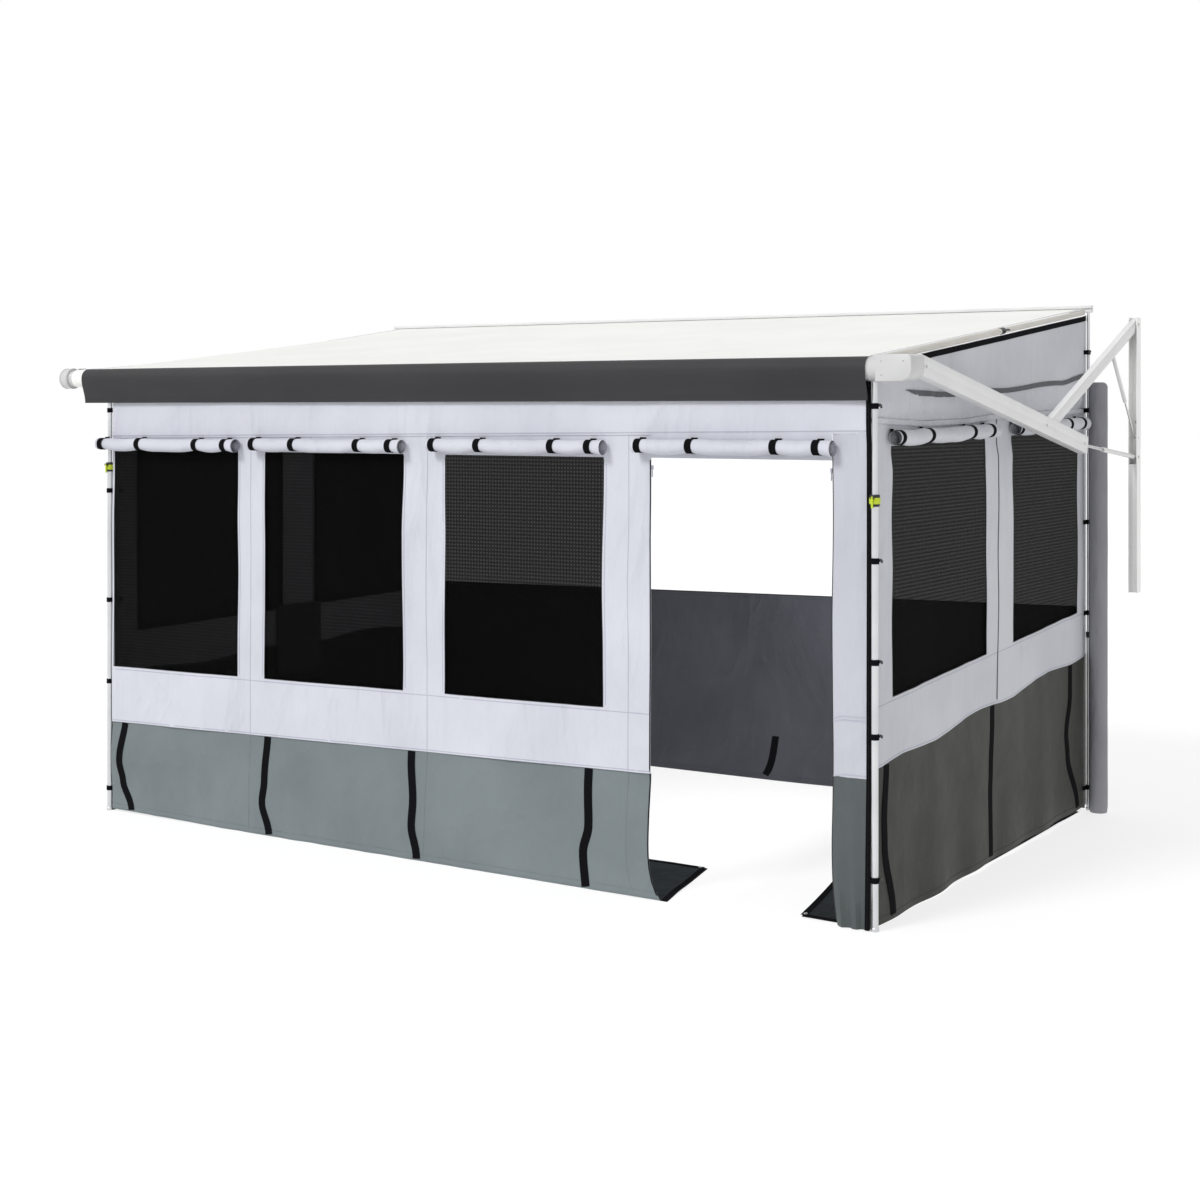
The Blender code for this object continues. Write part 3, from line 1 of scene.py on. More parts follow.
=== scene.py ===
# Recreational vehicle awning room: cloth, trim and finishes around the fixed frame.
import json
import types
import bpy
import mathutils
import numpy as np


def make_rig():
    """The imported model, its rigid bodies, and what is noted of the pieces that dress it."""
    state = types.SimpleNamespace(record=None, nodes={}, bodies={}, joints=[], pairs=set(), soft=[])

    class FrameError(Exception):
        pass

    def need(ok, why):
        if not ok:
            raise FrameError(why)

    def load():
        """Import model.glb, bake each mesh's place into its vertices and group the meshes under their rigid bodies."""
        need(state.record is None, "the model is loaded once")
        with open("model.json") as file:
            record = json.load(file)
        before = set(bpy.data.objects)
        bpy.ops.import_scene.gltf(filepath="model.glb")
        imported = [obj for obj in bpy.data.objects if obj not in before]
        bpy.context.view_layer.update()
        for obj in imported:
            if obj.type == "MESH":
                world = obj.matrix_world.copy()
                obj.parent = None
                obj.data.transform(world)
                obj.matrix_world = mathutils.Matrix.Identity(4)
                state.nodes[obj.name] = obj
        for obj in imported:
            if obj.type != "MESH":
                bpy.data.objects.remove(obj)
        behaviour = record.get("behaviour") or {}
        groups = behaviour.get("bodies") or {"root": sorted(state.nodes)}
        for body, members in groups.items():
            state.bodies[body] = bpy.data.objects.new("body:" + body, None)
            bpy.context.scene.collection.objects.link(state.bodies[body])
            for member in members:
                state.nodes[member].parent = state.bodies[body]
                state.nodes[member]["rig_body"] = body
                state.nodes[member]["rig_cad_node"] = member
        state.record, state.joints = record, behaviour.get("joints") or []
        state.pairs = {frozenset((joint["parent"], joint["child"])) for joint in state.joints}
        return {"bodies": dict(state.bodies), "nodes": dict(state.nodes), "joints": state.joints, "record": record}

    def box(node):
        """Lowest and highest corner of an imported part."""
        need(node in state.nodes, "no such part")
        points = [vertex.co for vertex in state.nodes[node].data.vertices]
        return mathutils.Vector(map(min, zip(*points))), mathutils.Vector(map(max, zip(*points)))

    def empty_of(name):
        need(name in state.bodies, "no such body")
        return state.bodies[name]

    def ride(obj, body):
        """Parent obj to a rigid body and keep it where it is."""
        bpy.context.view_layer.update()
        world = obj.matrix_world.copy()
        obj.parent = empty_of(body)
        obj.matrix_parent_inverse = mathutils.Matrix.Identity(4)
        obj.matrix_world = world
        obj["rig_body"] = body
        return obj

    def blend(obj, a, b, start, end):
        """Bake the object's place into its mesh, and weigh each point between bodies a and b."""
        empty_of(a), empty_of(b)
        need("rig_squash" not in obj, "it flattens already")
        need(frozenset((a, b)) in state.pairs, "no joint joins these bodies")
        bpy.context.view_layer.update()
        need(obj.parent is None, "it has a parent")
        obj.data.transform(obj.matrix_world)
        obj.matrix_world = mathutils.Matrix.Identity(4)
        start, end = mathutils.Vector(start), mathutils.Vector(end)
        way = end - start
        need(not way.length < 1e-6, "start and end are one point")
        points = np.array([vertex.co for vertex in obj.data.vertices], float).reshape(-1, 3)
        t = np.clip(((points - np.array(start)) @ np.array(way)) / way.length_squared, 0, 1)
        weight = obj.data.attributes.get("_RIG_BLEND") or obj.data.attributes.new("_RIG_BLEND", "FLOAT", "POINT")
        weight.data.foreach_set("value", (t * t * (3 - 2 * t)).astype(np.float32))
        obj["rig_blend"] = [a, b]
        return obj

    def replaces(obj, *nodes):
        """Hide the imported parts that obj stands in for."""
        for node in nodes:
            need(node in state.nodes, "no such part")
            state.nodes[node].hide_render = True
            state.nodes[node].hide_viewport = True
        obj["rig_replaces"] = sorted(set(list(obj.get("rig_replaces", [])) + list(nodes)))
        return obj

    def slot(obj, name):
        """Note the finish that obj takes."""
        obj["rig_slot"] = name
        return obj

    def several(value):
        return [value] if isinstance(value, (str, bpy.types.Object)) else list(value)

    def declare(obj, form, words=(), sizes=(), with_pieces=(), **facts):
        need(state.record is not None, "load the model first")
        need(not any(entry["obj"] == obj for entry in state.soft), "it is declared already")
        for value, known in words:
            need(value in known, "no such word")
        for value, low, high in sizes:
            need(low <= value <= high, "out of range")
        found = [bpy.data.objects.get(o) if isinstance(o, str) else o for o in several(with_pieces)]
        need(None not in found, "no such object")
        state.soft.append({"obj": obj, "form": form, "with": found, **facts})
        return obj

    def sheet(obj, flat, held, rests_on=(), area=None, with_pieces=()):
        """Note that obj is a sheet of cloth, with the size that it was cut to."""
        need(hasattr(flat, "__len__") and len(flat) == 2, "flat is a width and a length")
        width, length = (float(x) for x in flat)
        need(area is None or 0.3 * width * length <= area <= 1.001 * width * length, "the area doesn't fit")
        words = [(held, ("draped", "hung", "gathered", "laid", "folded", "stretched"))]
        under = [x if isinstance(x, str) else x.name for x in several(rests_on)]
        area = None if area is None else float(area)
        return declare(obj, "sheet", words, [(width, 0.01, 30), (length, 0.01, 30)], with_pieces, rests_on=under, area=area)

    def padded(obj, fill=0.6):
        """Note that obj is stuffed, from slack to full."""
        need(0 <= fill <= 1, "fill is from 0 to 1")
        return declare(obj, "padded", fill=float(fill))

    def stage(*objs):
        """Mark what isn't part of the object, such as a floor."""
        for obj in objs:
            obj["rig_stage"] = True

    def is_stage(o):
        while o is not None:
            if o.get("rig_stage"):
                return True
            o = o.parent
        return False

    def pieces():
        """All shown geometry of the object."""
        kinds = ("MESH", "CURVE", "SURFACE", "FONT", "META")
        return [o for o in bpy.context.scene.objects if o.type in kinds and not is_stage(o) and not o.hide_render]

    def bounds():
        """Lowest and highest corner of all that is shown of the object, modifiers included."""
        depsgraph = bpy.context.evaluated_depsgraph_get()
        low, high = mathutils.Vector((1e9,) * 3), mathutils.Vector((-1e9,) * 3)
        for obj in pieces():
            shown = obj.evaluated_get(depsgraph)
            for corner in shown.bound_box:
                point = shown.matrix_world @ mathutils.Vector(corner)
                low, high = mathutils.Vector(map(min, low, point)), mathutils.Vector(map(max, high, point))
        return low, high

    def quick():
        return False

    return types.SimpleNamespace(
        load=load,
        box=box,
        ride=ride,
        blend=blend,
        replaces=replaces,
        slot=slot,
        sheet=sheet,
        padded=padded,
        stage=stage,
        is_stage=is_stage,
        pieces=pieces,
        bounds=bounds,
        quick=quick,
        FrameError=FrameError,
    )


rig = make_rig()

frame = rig.load()
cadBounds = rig.bounds()

import json
import math

import bmesh
import bpy
from mathutils import Matrix, Vector, noise

outward = {"r": 1, "l": -1}            # the way along X that leads out of each side wall
forward = Vector((0, -1, 0))           # the way out of the front wall
threadLift = 0.0008                    # from the cloth's middle to a thread's
stitchStep = 0.05                      # between the points of a sewn line
seams = {}                             # sewn lines: runs of points for each body and thread
seamEdges = {"root": [], "roof": []}   # the turned edges of cloth along some of them
studs = {}                             # screw and rivet heads for each body: (place, direction, radius)
zipRuns = []                           # runs of zip teeth, all on the room's own body


# Sums

def clamp(value, low=0.0, high=1.0):
    return min(max(value, low), high)


def ease(value):
    value = clamp(value)
    return value * value * (3 - 2 * value)


def mix(start, end, share):
    return start + (end - start) * share


def line(low, high, start, end):
    return lambda at: mix(low, high, (at - start) / (end - start))


def level(height):
    return lambda at: height


def swell(across, up, seed):           # smooth noise from 0 to 1
    return 0.5 + 0.5 * clamp(1.6 * noise.noise(Vector((across, up, seed))), -1, 1)


def circle(count):                     # angles once round
    return [2 * math.pi * k / count for k in range(count)]


def stations(bounds, step):            # places that hold every bound and lie no further apart than the step
    places = [bounds[0]]
    for low, high in zip(bounds, bounds[1:]):
        count = max(1, math.ceil((high - low) / step - 1e-6))
        places += [mix(low, high, k / count) for k in range(1, count + 1)]
    return places


def through(points, places):           # heights read along a run of (place, height) points, smoothed
    def at(where):
        for (x0, z0), (x1, z1) in zip(points, points[1:]):
            if where <= x1:
                return mix(z0, z1, ease((where - x0) / (x1 - x0)))
        return points[-1][1]
    return [at(where) for where in places]


# Places read from the frame

fit = {
    "rollGap": 0.0019,                 # from a side wall's middle to the roll that lies on it
    "roofLift": 0.00165,               # from the roller's skin to the roof cloth's top
    "beadInset": 0.018,                # from the vehicle's wall to the bead in the rail
    "railDrop": 0.00205,               # from the roof cloth's top to the side rail's
    "wallDrop": 0.0012,                # from the side rail to the wall below it
}


def readRoom():
    panelLow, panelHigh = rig.box("front_window_panel")
    postLow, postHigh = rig.box("door_post_panel")
    headerLow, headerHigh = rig.box("front_header")
    railLow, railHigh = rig.box("awning_rail")
    rollerLow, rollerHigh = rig.box("roller_tube")
    tubeLow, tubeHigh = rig.box("side_rail_r")
    made = {
        "left": panelLow.x, "door": panelHigh.x, "post": postLow.x, "right": postHigh.x,
        "windowHead": headerLow.z, "headerTop": headerHigh.z, "frontY": (panelLow.y + panelHigh.y) / 2,
        "wallY": railHigh.y, "railFront": railLow.y, "railZ": (railLow.z + railHigh.z) / 2,
        "rollerZ": (rollerLow.z + rollerHigh.z) / 2, "rollerRadius": (rollerHigh.z - rollerLow.z) / 2,
        "halfCloth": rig.box("roof_fabric")[1].x, "railRadius": (tubeHigh.x - tubeLow.x) / 2,
        "wallX": {"r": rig.box("side_roll_r_a")[0].x - fit["rollGap"],
                  "l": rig.box("side_roll_l_a")[1].x + fit["rollGap"]},
    }
    made["roofFront"] = made["rollerZ"] + made["rollerRadius"] + fit["roofLift"]
    made["beadY"] = made["wallY"] - fit["beadInset"]
    made["slope"] = math.atan2(made["railZ"] - made["roofFront"], made["beadY"] - made["frontY"])
    return made


room = readRoom()


def roofHeight(y):
    return room["roofFront"] + (y - room["frontY"]) * math.tan(room["slope"])


def sideTop(y):                        # just under the side rail tube
    drop = fit["railDrop"] + 2 * room["railRadius"] + fit["wallDrop"]
    return roofHeight(y) - drop / math.cos(room["slope"])


# Finishes

def linear(code):
    parts = [int(code[k:k + 2], 16) / 255 for k in (1, 3, 5)]
    return [part / 12.92 if part <= 0.04045 else ((part + 0.055) / 1.055) ** 2.4 for part in parts]


def addNode(tree, kind, inputs=None, **settings):      # an input is a value or another node's output
    node = tree.nodes.new(kind)
    for key, value in settings.items():
        setattr(node, key, value)
    for key, value in (inputs or {}).items():
        if isinstance(value, bpy.types.NodeSocket):
            tree.links.new(value, node.inputs[key])
        else:
            node.inputs[key].default_value = value
    return node


def newFinish(name, look, dress):
    made = bpy.data.materials.new(name)
    made.use_nodes = True
    shader = made.node_tree.nodes["Principled BSDF"]
    for socket, key, usual in (("Roughness", "roughness", 0.6), ("Metallic", "metallic", 0.0),
                               ("Sheen Weight", "sheen", 0.0), ("Specular IOR Level", "gloss", 0.5)):
        shader.inputs[socket].default_value = look.get(key, usual)
    shader.inputs["Base Color"].default_value = (*linear(look["colour"]), 1)
    dress(made.node_tree, look)
    return made


def feed(tree, socket, source):        # into the finish's own shader
    tree.links.new(source, tree.nodes["Principled BSDF"].inputs[socket])


def placeOn(tree, source, size=(1, 1, 1)):
    coords = addNode(tree, "ShaderNodeTexCoord").outputs[source]
    return addNode(tree, "ShaderNodeMapping", {"Vector": coords, "Scale": size}).outputs["Vector"]


def cloud(tree, where, scale, detail):
    spots = {"Vector": where, "Scale": scale, "Detail": detail}
    return addNode(tree, "ShaderNodeTexNoise", spots).outputs["Fac"]


def creases(tree, where, scale):       # sharp folded lines, as cloth keeps from its bag
    ridges = {"Vector": where, "Scale": scale, "Detail": 3.0, "Roughness": 0.45, "Offset": 1.0, "Gain": 1.6,
              "Distortion": 0.5}
    return addNode(tree, "ShaderNodeTexNoise", ridges, noise_type="RIDGED_MULTIFRACTAL").outputs["Fac"]


def bands(tree, where, pitch, direction, wobble=0.0):
    perUnit = 0.31416                  # one band of the wave texture at scale 1
    waves = {"Vector": where, "Scale": perUnit / pitch, "Distortion": wobble}
    return addNode(tree, "ShaderNodeTexWave", waves, bands_direction=direction).outputs["Fac"]


def combine(tree, operation, first, second):
    return addNode(tree, "ShaderNodeMath", {0: first, 1: second}, operation=operation).outputs["Value"]


def woven(tree, pitch, wobble=0.0):    # threads that cross; a cloth's own map is in metres
    flat = placeOn(tree, "UV")
    return combine(tree, "MULTIPLY", *(bands(tree, flat, pitch, way, wobble) for way in "XY"))


def shades(tree, value, look, spread=(0.35, 0.65)):
    ramp = addNode(tree, "ShaderNodeValToRGB", {"Fac": value})
    for element, place, key in zip(ramp.color_ramp.elements, spread, ("dark", "colour")):
        element.position = place
        element.color = (*linear(look[key]), 1)
    feed(tree, "Base Color", ramp.outputs["Color"])


def varyRoughness(tree, value, look, less, more):
    limits = {"Value": value, "To Min": look["roughness"] - less, "To Max": look["roughness"] + more}
    feed(tree, "Roughness", addNode(tree, "ShaderNodeMapRange", limits).outputs["Result"])


def raiseSurface(tree, *layers):       # layers of (height, depth in metres), the one below first
    normal = {}
    for height, depth in layers:
        bump = {"Height": height, "Distance": depth, "Strength": 1.0, **normal}
        normal = {"Normal": addNode(tree, "ShaderNodeBump", bump).outputs["Normal"]}
    feed(tree, "Normal", normal["Normal"])


def clothFinish(tree, look):
    stretched = placeOn(tree, "Object", look.get("grain", (1, 1, 0.35)))
    crumple = cloud(tree, stretched, look.get("crumpleScale", 7), 6)
    sharp = creases(tree, stretched, look.get("creaseScale", 2.3))
    shades(tree, cloud(tree, placeOn(tree, "Object"), 2.2, 5), look)
    varyRoughness(tree, crumple, look, 0.08, 0.1)
    raiseSurface(tree, (sharp, look.get("crease", 0.015)), (crumple, look.get("crumple", 0.022)),
                 (woven(tree, look["pitch"]), 0.0003))


def meshFinish(tree, look):            # insect net: nearly closed cells in a fine grid
    grid, coarse = woven(tree, look["pitch"]), woven(tree, look["thread"], 0.1)
    limits = {"Value": combine(tree, "ADD", grid, coarse), "From Max": 2.0, "To Min": look["closed"],
              "To Max": look["open"]}
    feed(tree, "Alpha", addNode(tree, "ShaderNodeMapRange", limits).outputs["Result"])
    shades(tree, coarse, look, (0.2, 0.9))
    raiseSurface(tree, (grid, 0.0003))


def webbingFinish(tree, look):         # ribbed tape: ribs across its length
    flat = placeOn(tree, "UV")
    ribs, edge = bands(tree, flat, look["pitch"], "X"), bands(tree, flat, look["pitch"] * 3, "Y", 0.5)
    shades(tree, ribs, look, (0.1, 0.9))
    raiseSurface(tree, (ribs, 0.0008), (edge, 0.0003))


def hardFinish(tree, look, patch, shine, grain, depth, spread, size=(1, 1, 1)):
    shades(tree, cloud(tree, placeOn(tree, "Object"), *patch), look, (0.3, 0.7))  # patch: scale and detail
    where = placeOn(tree, "Object", size)
    varyRoughness(tree, cloud(tree, where, *shine), look, *spread)
    raiseSurface(tree, (cloud(tree, where, *grain), depth))


def paintFinish(tree, look):           # powder coat: faint orange peel
    hardFinish(tree, look, (4, 6), (9, 4), (260, 2), 0.0003, (0.06, 0.12))


def drawnFinish(tree, look):           # drawn tube: fine lines along its length
    hardFinish(tree, look, (5, 5), (420, 4), (420, 4), 0.00015, (0.08, 0.14), (1, 1, 0.02))


def mouldedFinish(tree, look):         # moulded plastic: fine grain
    hardFinish(tree, look, (30, 4), (900, 2), (900, 2), 0.0002, (0.05, 0.1))


clothLooks = {
    "whiteCloth": {"colour": "#cdcfd8", "dark": "#c4c6d0", "roughness": 0.72, "sheen": 0.08, "pitch": 0.0022},
    # A darker copy of the white cloth: painted shade on the door post panel
    "postCloth": {"colour": "#bfc1ca", "dark": "#b4b6c0", "roughness": 0.72, "sheen": 0.05, "pitch": 0.0022},
    # A darker copy of the white cloth: painted shade for the side walls, their rolls and their hems
    "shadeCloth": {"colour": "#cccdd3", "dark": "#c1c2c9", "roughness": 0.72, "sheen": 0.05, "pitch": 0.0022},
    "greyCloth": {
        "colour": "#727b7e", "dark": "#697275", "roughness": 0.5, "sheen": 0.05, "pitch": 0.0024,
        "gloss": 0.35, "creaseScale": 1.6, "crease": 0.009, "crumple": 0.012, "grain": (1, 1, 0.8),
    },
    "postGreyCloth": {
        "colour": "#52585a", "dark": "#4a5051", "roughness": 0.5, "sheen": 0.03, "pitch": 0.0024,
        "gloss": 0.3,
    },
    # A darker copy of the grey skirt cloth: painted shade for the side skirts
    "sideGreyCloth": {
        "colour": "#343530", "dark": "#2e2f2b", "roughness": 0.5, "sheen": 0.03, "pitch": 0.0024,
        "gloss": 0.2, "creaseScale": 1.6, "crease": 0.004, "crumple": 0.008, "grain": (1, 1, 1),
    },
    "valanceCloth": {
        "colour": "#343436", "dark": "#2f2f31", "roughness": 0.6, "sheen": 0.02, "pitch": 0.004,
        "gloss": 0.25, "grain": (0.3, 1, 2.4), "crumple": 0.003, "crease": 0.001,
    },
    "roofCloth": {
        "colour": "#f1f1ee", "dark": "#ecece9", "roughness": 0.55, "pitch": 0.003,
        "crumple": 0.003, "crease": 0.0,
    },
    "draughtCloth": {
        "colour": "#494a51", "dark": "#414249", "roughness": 0.42, "sheen": 0.02, "pitch": 0.003,
        "gloss": 0.45, "crease": 0.006, "crumple": 0.012, "crumpleScale": 5, "grain": (1, 1, 0.8),
    },
    "flapCloth": {
        "colour": "#22282c", "dark": "#1a1f22", "roughness": 0.7, "pitch": 0.004, "gloss": 0.12,
        "crumple": 0.010,
    },
    "padCloth": {"colour": "#929298", "dark": "#85858b", "roughness": 0.7, "sheen": 0.05, "pitch": 0.003},
    "liningCloth": {"colour": "#3d3f45", "dark": "#2c2e33", "roughness": 0.6, "sheen": 0.03, "pitch": 0.0022},
    "pocketCloth": {"colour": "#5a5b60", "dark": "#4a4b50", "roughness": 0.6, "sheen": 0.03, "pitch": 0.003},
    # A darker copy of the white cloth along turned edges: painted shade of the seam line; the turned edge itself is
    # modelled
    "seamCloth": {"colour": "#b3b6c2", "dark": "#a9acb9", "roughness": 0.75, "pitch": 0.002},
    "stripCloth": {"colour": "#55565c", "dark": "#4b4c52", "roughness": 0.65, "pitch": 0.002},
}
otherLooks = {
    "netMesh": (meshFinish, {
        "colour": "#080808", "dark": "#040404", "roughness": 0.9, "gloss": 0.04, "pitch": 0.0016,
        "thread": 0.0155, "open": 0.65, "closed": 0.912,
    }),
    "blackWebbing": (webbingFinish, {
        "colour": "#151518", "dark": "#0b0b0d", "roughness": 0.9, "pitch": 0.003, "gloss": 0.05,
    }),
    "whitePaint": (paintFinish, {"colour": "#e3e3e3", "dark": "#dadadb", "roughness": 0.34}),
    # Lighter than the white paint: painted light against the shade inside the wall channels and on their strips
    "channelPaint": (paintFinish, {"colour": "#f6f6f5", "dark": "#efefee", "roughness": 0.38}),
    "headPaint": (paintFinish, {"colour": "#c9c9c9", "dark": "#c0c0c1", "roughness": 0.36}),
    "railPaint": (paintFinish, {"colour": "#cfccc4", "dark": "#c3c0b8", "roughness": 0.42}),
    "poleMetal": (drawnFinish, {"colour": "#d9dadc", "dark": "#c9cacd", "roughness": 0.3, "metallic": 0.75}),
    "rodMetal": (drawnFinish, {"colour": "#dcdcdc", "dark": "#cfcfcf", "roughness": 0.22, "metallic": 0.9}),
    "blackPlastic": (mouldedFinish, {"colour": "#17171a", "dark": "#101012", "roughness": 0.42}),
    "limePlastic": (mouldedFinish, {"colour": "#c3d42c", "dark": "#b4c51f", "roughness": 0.38}),
    "screwSteel": (drawnFinish, {"colour": "#b9b9b7", "dark": "#a5a5a3", "roughness": 0.3, "metallic": 0.9}),
    "threadWhite": (mouldedFinish, {"colour": "#9c9fae", "dark": "#9295a4", "roughness": 0.8}),
    "threadGrey": (mouldedFinish, {"colour": "#6a7275", "dark": "#60686b", "roughness": 0.8}),
    "threadDark": (mouldedFinish, {"colour": "#3c3d3f", "dark": "#323335", "roughness": 0.8}),
    "pullPlastic": (mouldedFinish, {"colour": "#9a9da8", "dark": "#8c8f9a", "roughness": 0.4}),
}
finishes = {name: newFinish(name, look, clothFinish) for name, look in clothLooks.items()}
finishes.update({name: newFinish(name, look, dress) for name, (dress, look) in otherLooks.items()})
print("finishes:", len(finishes))


# Making pieces

def newPiece(name, shape, looks):
    data = bpy.data.meshes.new(name)
    shape.to_mesh(data)
    shape.free()
    piece = bpy.data.objects.new(name, data)
    bpy.context.scene.collection.objects.link(piece)
    for look in looks:
        data.materials.append(finishes[look])
    return piece


def bakeSteps(piece):                  # takes the modifiers into the mesh
    bpy.context.view_layer.update()
    made = bpy.data.meshes.new_from_object(piece.evaluated_get(bpy.context.evaluated_depsgraph_get()))
    piece.modifiers.clear()
    piece.data = made
    made.shade_smooth()
    return made


def settle(piece, angle=0.7):
    bakeSteps(piece).set_sharp_from_angle(angle=angle)
    return piece


# The walls' cloth hangs on the roof: over these depths below the header's top it comes to follow the tilt
hanging = {"deep": 0.170, "shallow": 0.010}


def hang(piece, body="root", slot=None, stands=()):
    if stands:
        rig.replaces(piece, *stands)
    if slot:
        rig.slot(piece, slot)
    if body == "walls":
        start, end = ((0, 0, room["headerTop"] - hanging[depth]) for depth in ("deep", "shallow"))
        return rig.blend(piece, "root", "roof", start=start, end=end)
    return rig.ride(piece, body)


def thicken(piece, thickness, offset=0.0, rimLook=0):
    wall = piece.modifiers.new("thickness", "SOLIDIFY")
    wall.thickness = thickness
    wall.offset = offset
    wall.material_offset_rim = rimLook
    return settle(piece)


def fillGrid(shape, grid, flat, turned=False, isOpen=None):  # flat gives each point's spot on the uncut cloth
    cut = shape.loops.layers.uv.new("cloth")
    for i in range(len(grid) - 1):
        for j in range(len(grid[0]) - 1):
            if isOpen and isOpen(i, j):
                continue
            corners = ((i, j), (i + 1, j), (i + 1, j + 1), (i, j + 1))
            corners = (corners[0], *corners[:0:-1]) if turned else corners
            face = shape.faces.new([grid[a][b] for a, b in corners])
            for loop, spot in zip(face.loops, corners):
                loop[cut].uv = flat(*spot)


def clothGrid(across, levels, place, isOpen=None, rowStep=0.03):
    rows, bandOf = [], []
    middle = across[len(across) // 2]
    for band, (low, high) in enumerate(zip(levels, levels[1:])):
        count = max(1, math.ceil((high(middle) - low(middle)) / rowStep))
        for k in range(count):
            rows.append(lambda at, low=low, high=high, share=k / count: mix(low(at), high(at), share))
            bandOf.append(band)
    rows.append(levels[-1])
    shape = bmesh.new()
    flat = [[(at, row(at)) for row in rows] for at in across]
    grid = [[shape.verts.new(place(*spot)) for spot in column] for column in flat]
    fillGrid(shape, grid, lambda i, j: flat[i][j],
             isOpen=lambda i, j: isOpen and isOpen((across[i] + across[i + 1]) / 2, bandOf[j]))
    bmesh.ops.delete(shape, geom=[v for v in shape.verts if not v.link_faces], context="VERTS")
    return shape


def headings(points, closed):          # the way along a run at each of its points
    last = len(points) - 1
    for k, point in enumerate(points):
        before = points[k - 1] if k or closed else point
        after = points[(k + 1) % len(points)] if k < last or closed else point
        yield (after - before).normalized()


def joinRings(shape, rings):
    for first, second in zip(rings, rings[1:]):
        for s in range(len(first)):
            t = (s + 1) % len(first)
            shape.faces.new((first[s], first[t], second[t], second[s]))


def closeEnds(shape, rings):
    shape.faces.new(rings[0][::-1])
    shape.faces.new(rings[-1])


def addTube(shape, points, radius, sides=8, closed=False):
    points = [Vector(p) for p in points]
    last = len(points) - 1
    rings, side = [], None
    for k, (point, along) in enumerate(zip(points, headings(points, closed))):
        if side is None:
            side = along.cross(Vector((0, 0, 1)))
            side = side if side.length > 0.1 else along.cross(Vector((0, 1, 0)))
        side = (side - along * side.dot(along)).normalized()
        up = along.cross(side)
        width = radius(k / last) if callable(radius) else radius
        rings.append([shape.verts.new(point + width * (side * math.cos(t) + up * math.sin(t)))
                      for t in circle(sides)])
    joinRings(shape, rings + rings[:1] if closed else rings)
    if not closed:
        closeEnds(shape, rings)


def addTape(shape, points, facing, width, thickness, closed=False):  # a flat strap that lies facing outwards
    cut = shape.loops.layers.uv.verify()
    points = [Vector(p) for p in points]
    last = len(points) - 1
    rings, places, walked = [], [], 0.0
    for k, (point, along) in enumerate(zip(points, headings(points, closed))):
        out = Vector(facing(point) if callable(facing) else facing)
        out = (out - along * out.dot(along)).normalized()
        half = along.cross(out) * ((width(k / last) if callable(width) else width) / 2)
        low, high = point, point + out * thickness
        rings.append([shape.verts.new(p) for p in (low - half, low + half, high + half, high - half)])
        walked += (point - points[k - 1]).length if k else 0
        places.append(walked)
    spans = [(k, k + 1) for k in range(last)] + ([(last, 0)] if closed else [])
    acrossOf = (0, 1, 1, 0)
    for first, second in spans:
        ends = (places[first], places[second] if second else walked + (points[0] - points[-1]).length)
        for s in range(4):
            t = (s + 1) % 4
            face = shape.faces.new((rings[first][s], rings[first][t], rings[second][t], rings[second][s]))
            for loop, (end, corner) in zip(face.loops, ((0, s), (0, t), (1, t), (1, s))):
                loop[cut].uv = (ends[end], acrossOf[corner] * 0.03)
    if not closed:
        closeEnds(shape, rings)


def addBlock(shape, centre, size):
    bmesh.ops.create_cube(shape, size=1, matrix=Matrix.Translation(centre) @ Matrix.Diagonal((*size, 1)))


def trim(name, shape, look, body="root", slot=None, angle=0.9):
    bmesh.ops.recalc_face_normals(shape, faces=shape.faces)
    piece = newPiece(name, shape, [look])
    piece.data.shade_smooth()
    piece.data.set_sharp_from_angle(angle=angle)
    return hang(piece, body, slot)


def trimTape(name, points, facing, width, thickness, look="blackWebbing", body="root", slot=None):
    shape = bmesh.new()
    addTape(shape, points, facing, width, thickness)
    return trim(name, shape, look, body, slot)


def sew(points, facing=None, thread="threadWhite", body="root"):  # facing tells that an edge is turned there
    points = [Vector(p) for p in points]
    seams.setdefault((body, thread), []).append(points)
    if facing:
        seamEdges[body].append((points, Vector(facing)))


# Front wall

frontWall = {
    "columns": (0.170, 0.230, 0.229), "margin": 0.012, "thickness": 0.0012, "step": 0.034,
    "bandLeft": 0.440, "bandDoor": 0.496, "sillLeft": 0.712, "sillDoor": 0.750,
    "seamLeft": room["headerTop"] - 0.2376, "seamRight": room["headerTop"] - 0.1906,
    "seamPlaces": (-0.997, 0.045, 1.084), "foldDepth": 0.013, "edgeWave": 0.007, "foot": 0.002,
    "headerLap": 0.014,
    "hemRows": (0.030, 0.008), "skirtStand": 0.050, "skirtFlare": 0.075, "postSkirtTop": 0.572,
    "postSeam": 0.804, "zipWidth": 0.021,
}
skirtStraps = {                        # X at four heights, from the band down to the hem
    "width": 0.040, "thickness": 0.0016, "lift": 0.0014, "heights": (0.45, 0.25, 0.15, 0.01),
    "places": ((-1.824, -1.852, -1.829, -1.775), (-0.890, -0.897, -0.912, -0.865),
               (-0.042, -0.020, -0.025, 0.010), (0.889, 0.903, 0.880, 0.890)),
}


def frontWindows():
    width = (room["door"] - room["left"] - frontWall["margin"] - sum(frontWall["columns"])) / 3
    places, at = [], room["left"] + frontWall["margin"]
    for column in frontWall["columns"]:
        places.append((at, at + width))
        at += width + column
    return places


windows = frontWindows()
panelWidth = room["door"] - room["left"]
panelRun = stations([room["left"], room["door"]], stitchStep)
bandLow = line(frontWall["bandLeft"], frontWall["bandDoor"], room["left"], room["door"])
sillAt = line(frontWall["sillLeft"], frontWall["sillDoor"], room["left"], room["door"])
seamAt = line(frontWall["seamLeft"], frontWall["seamRight"], room["left"], room["right"])


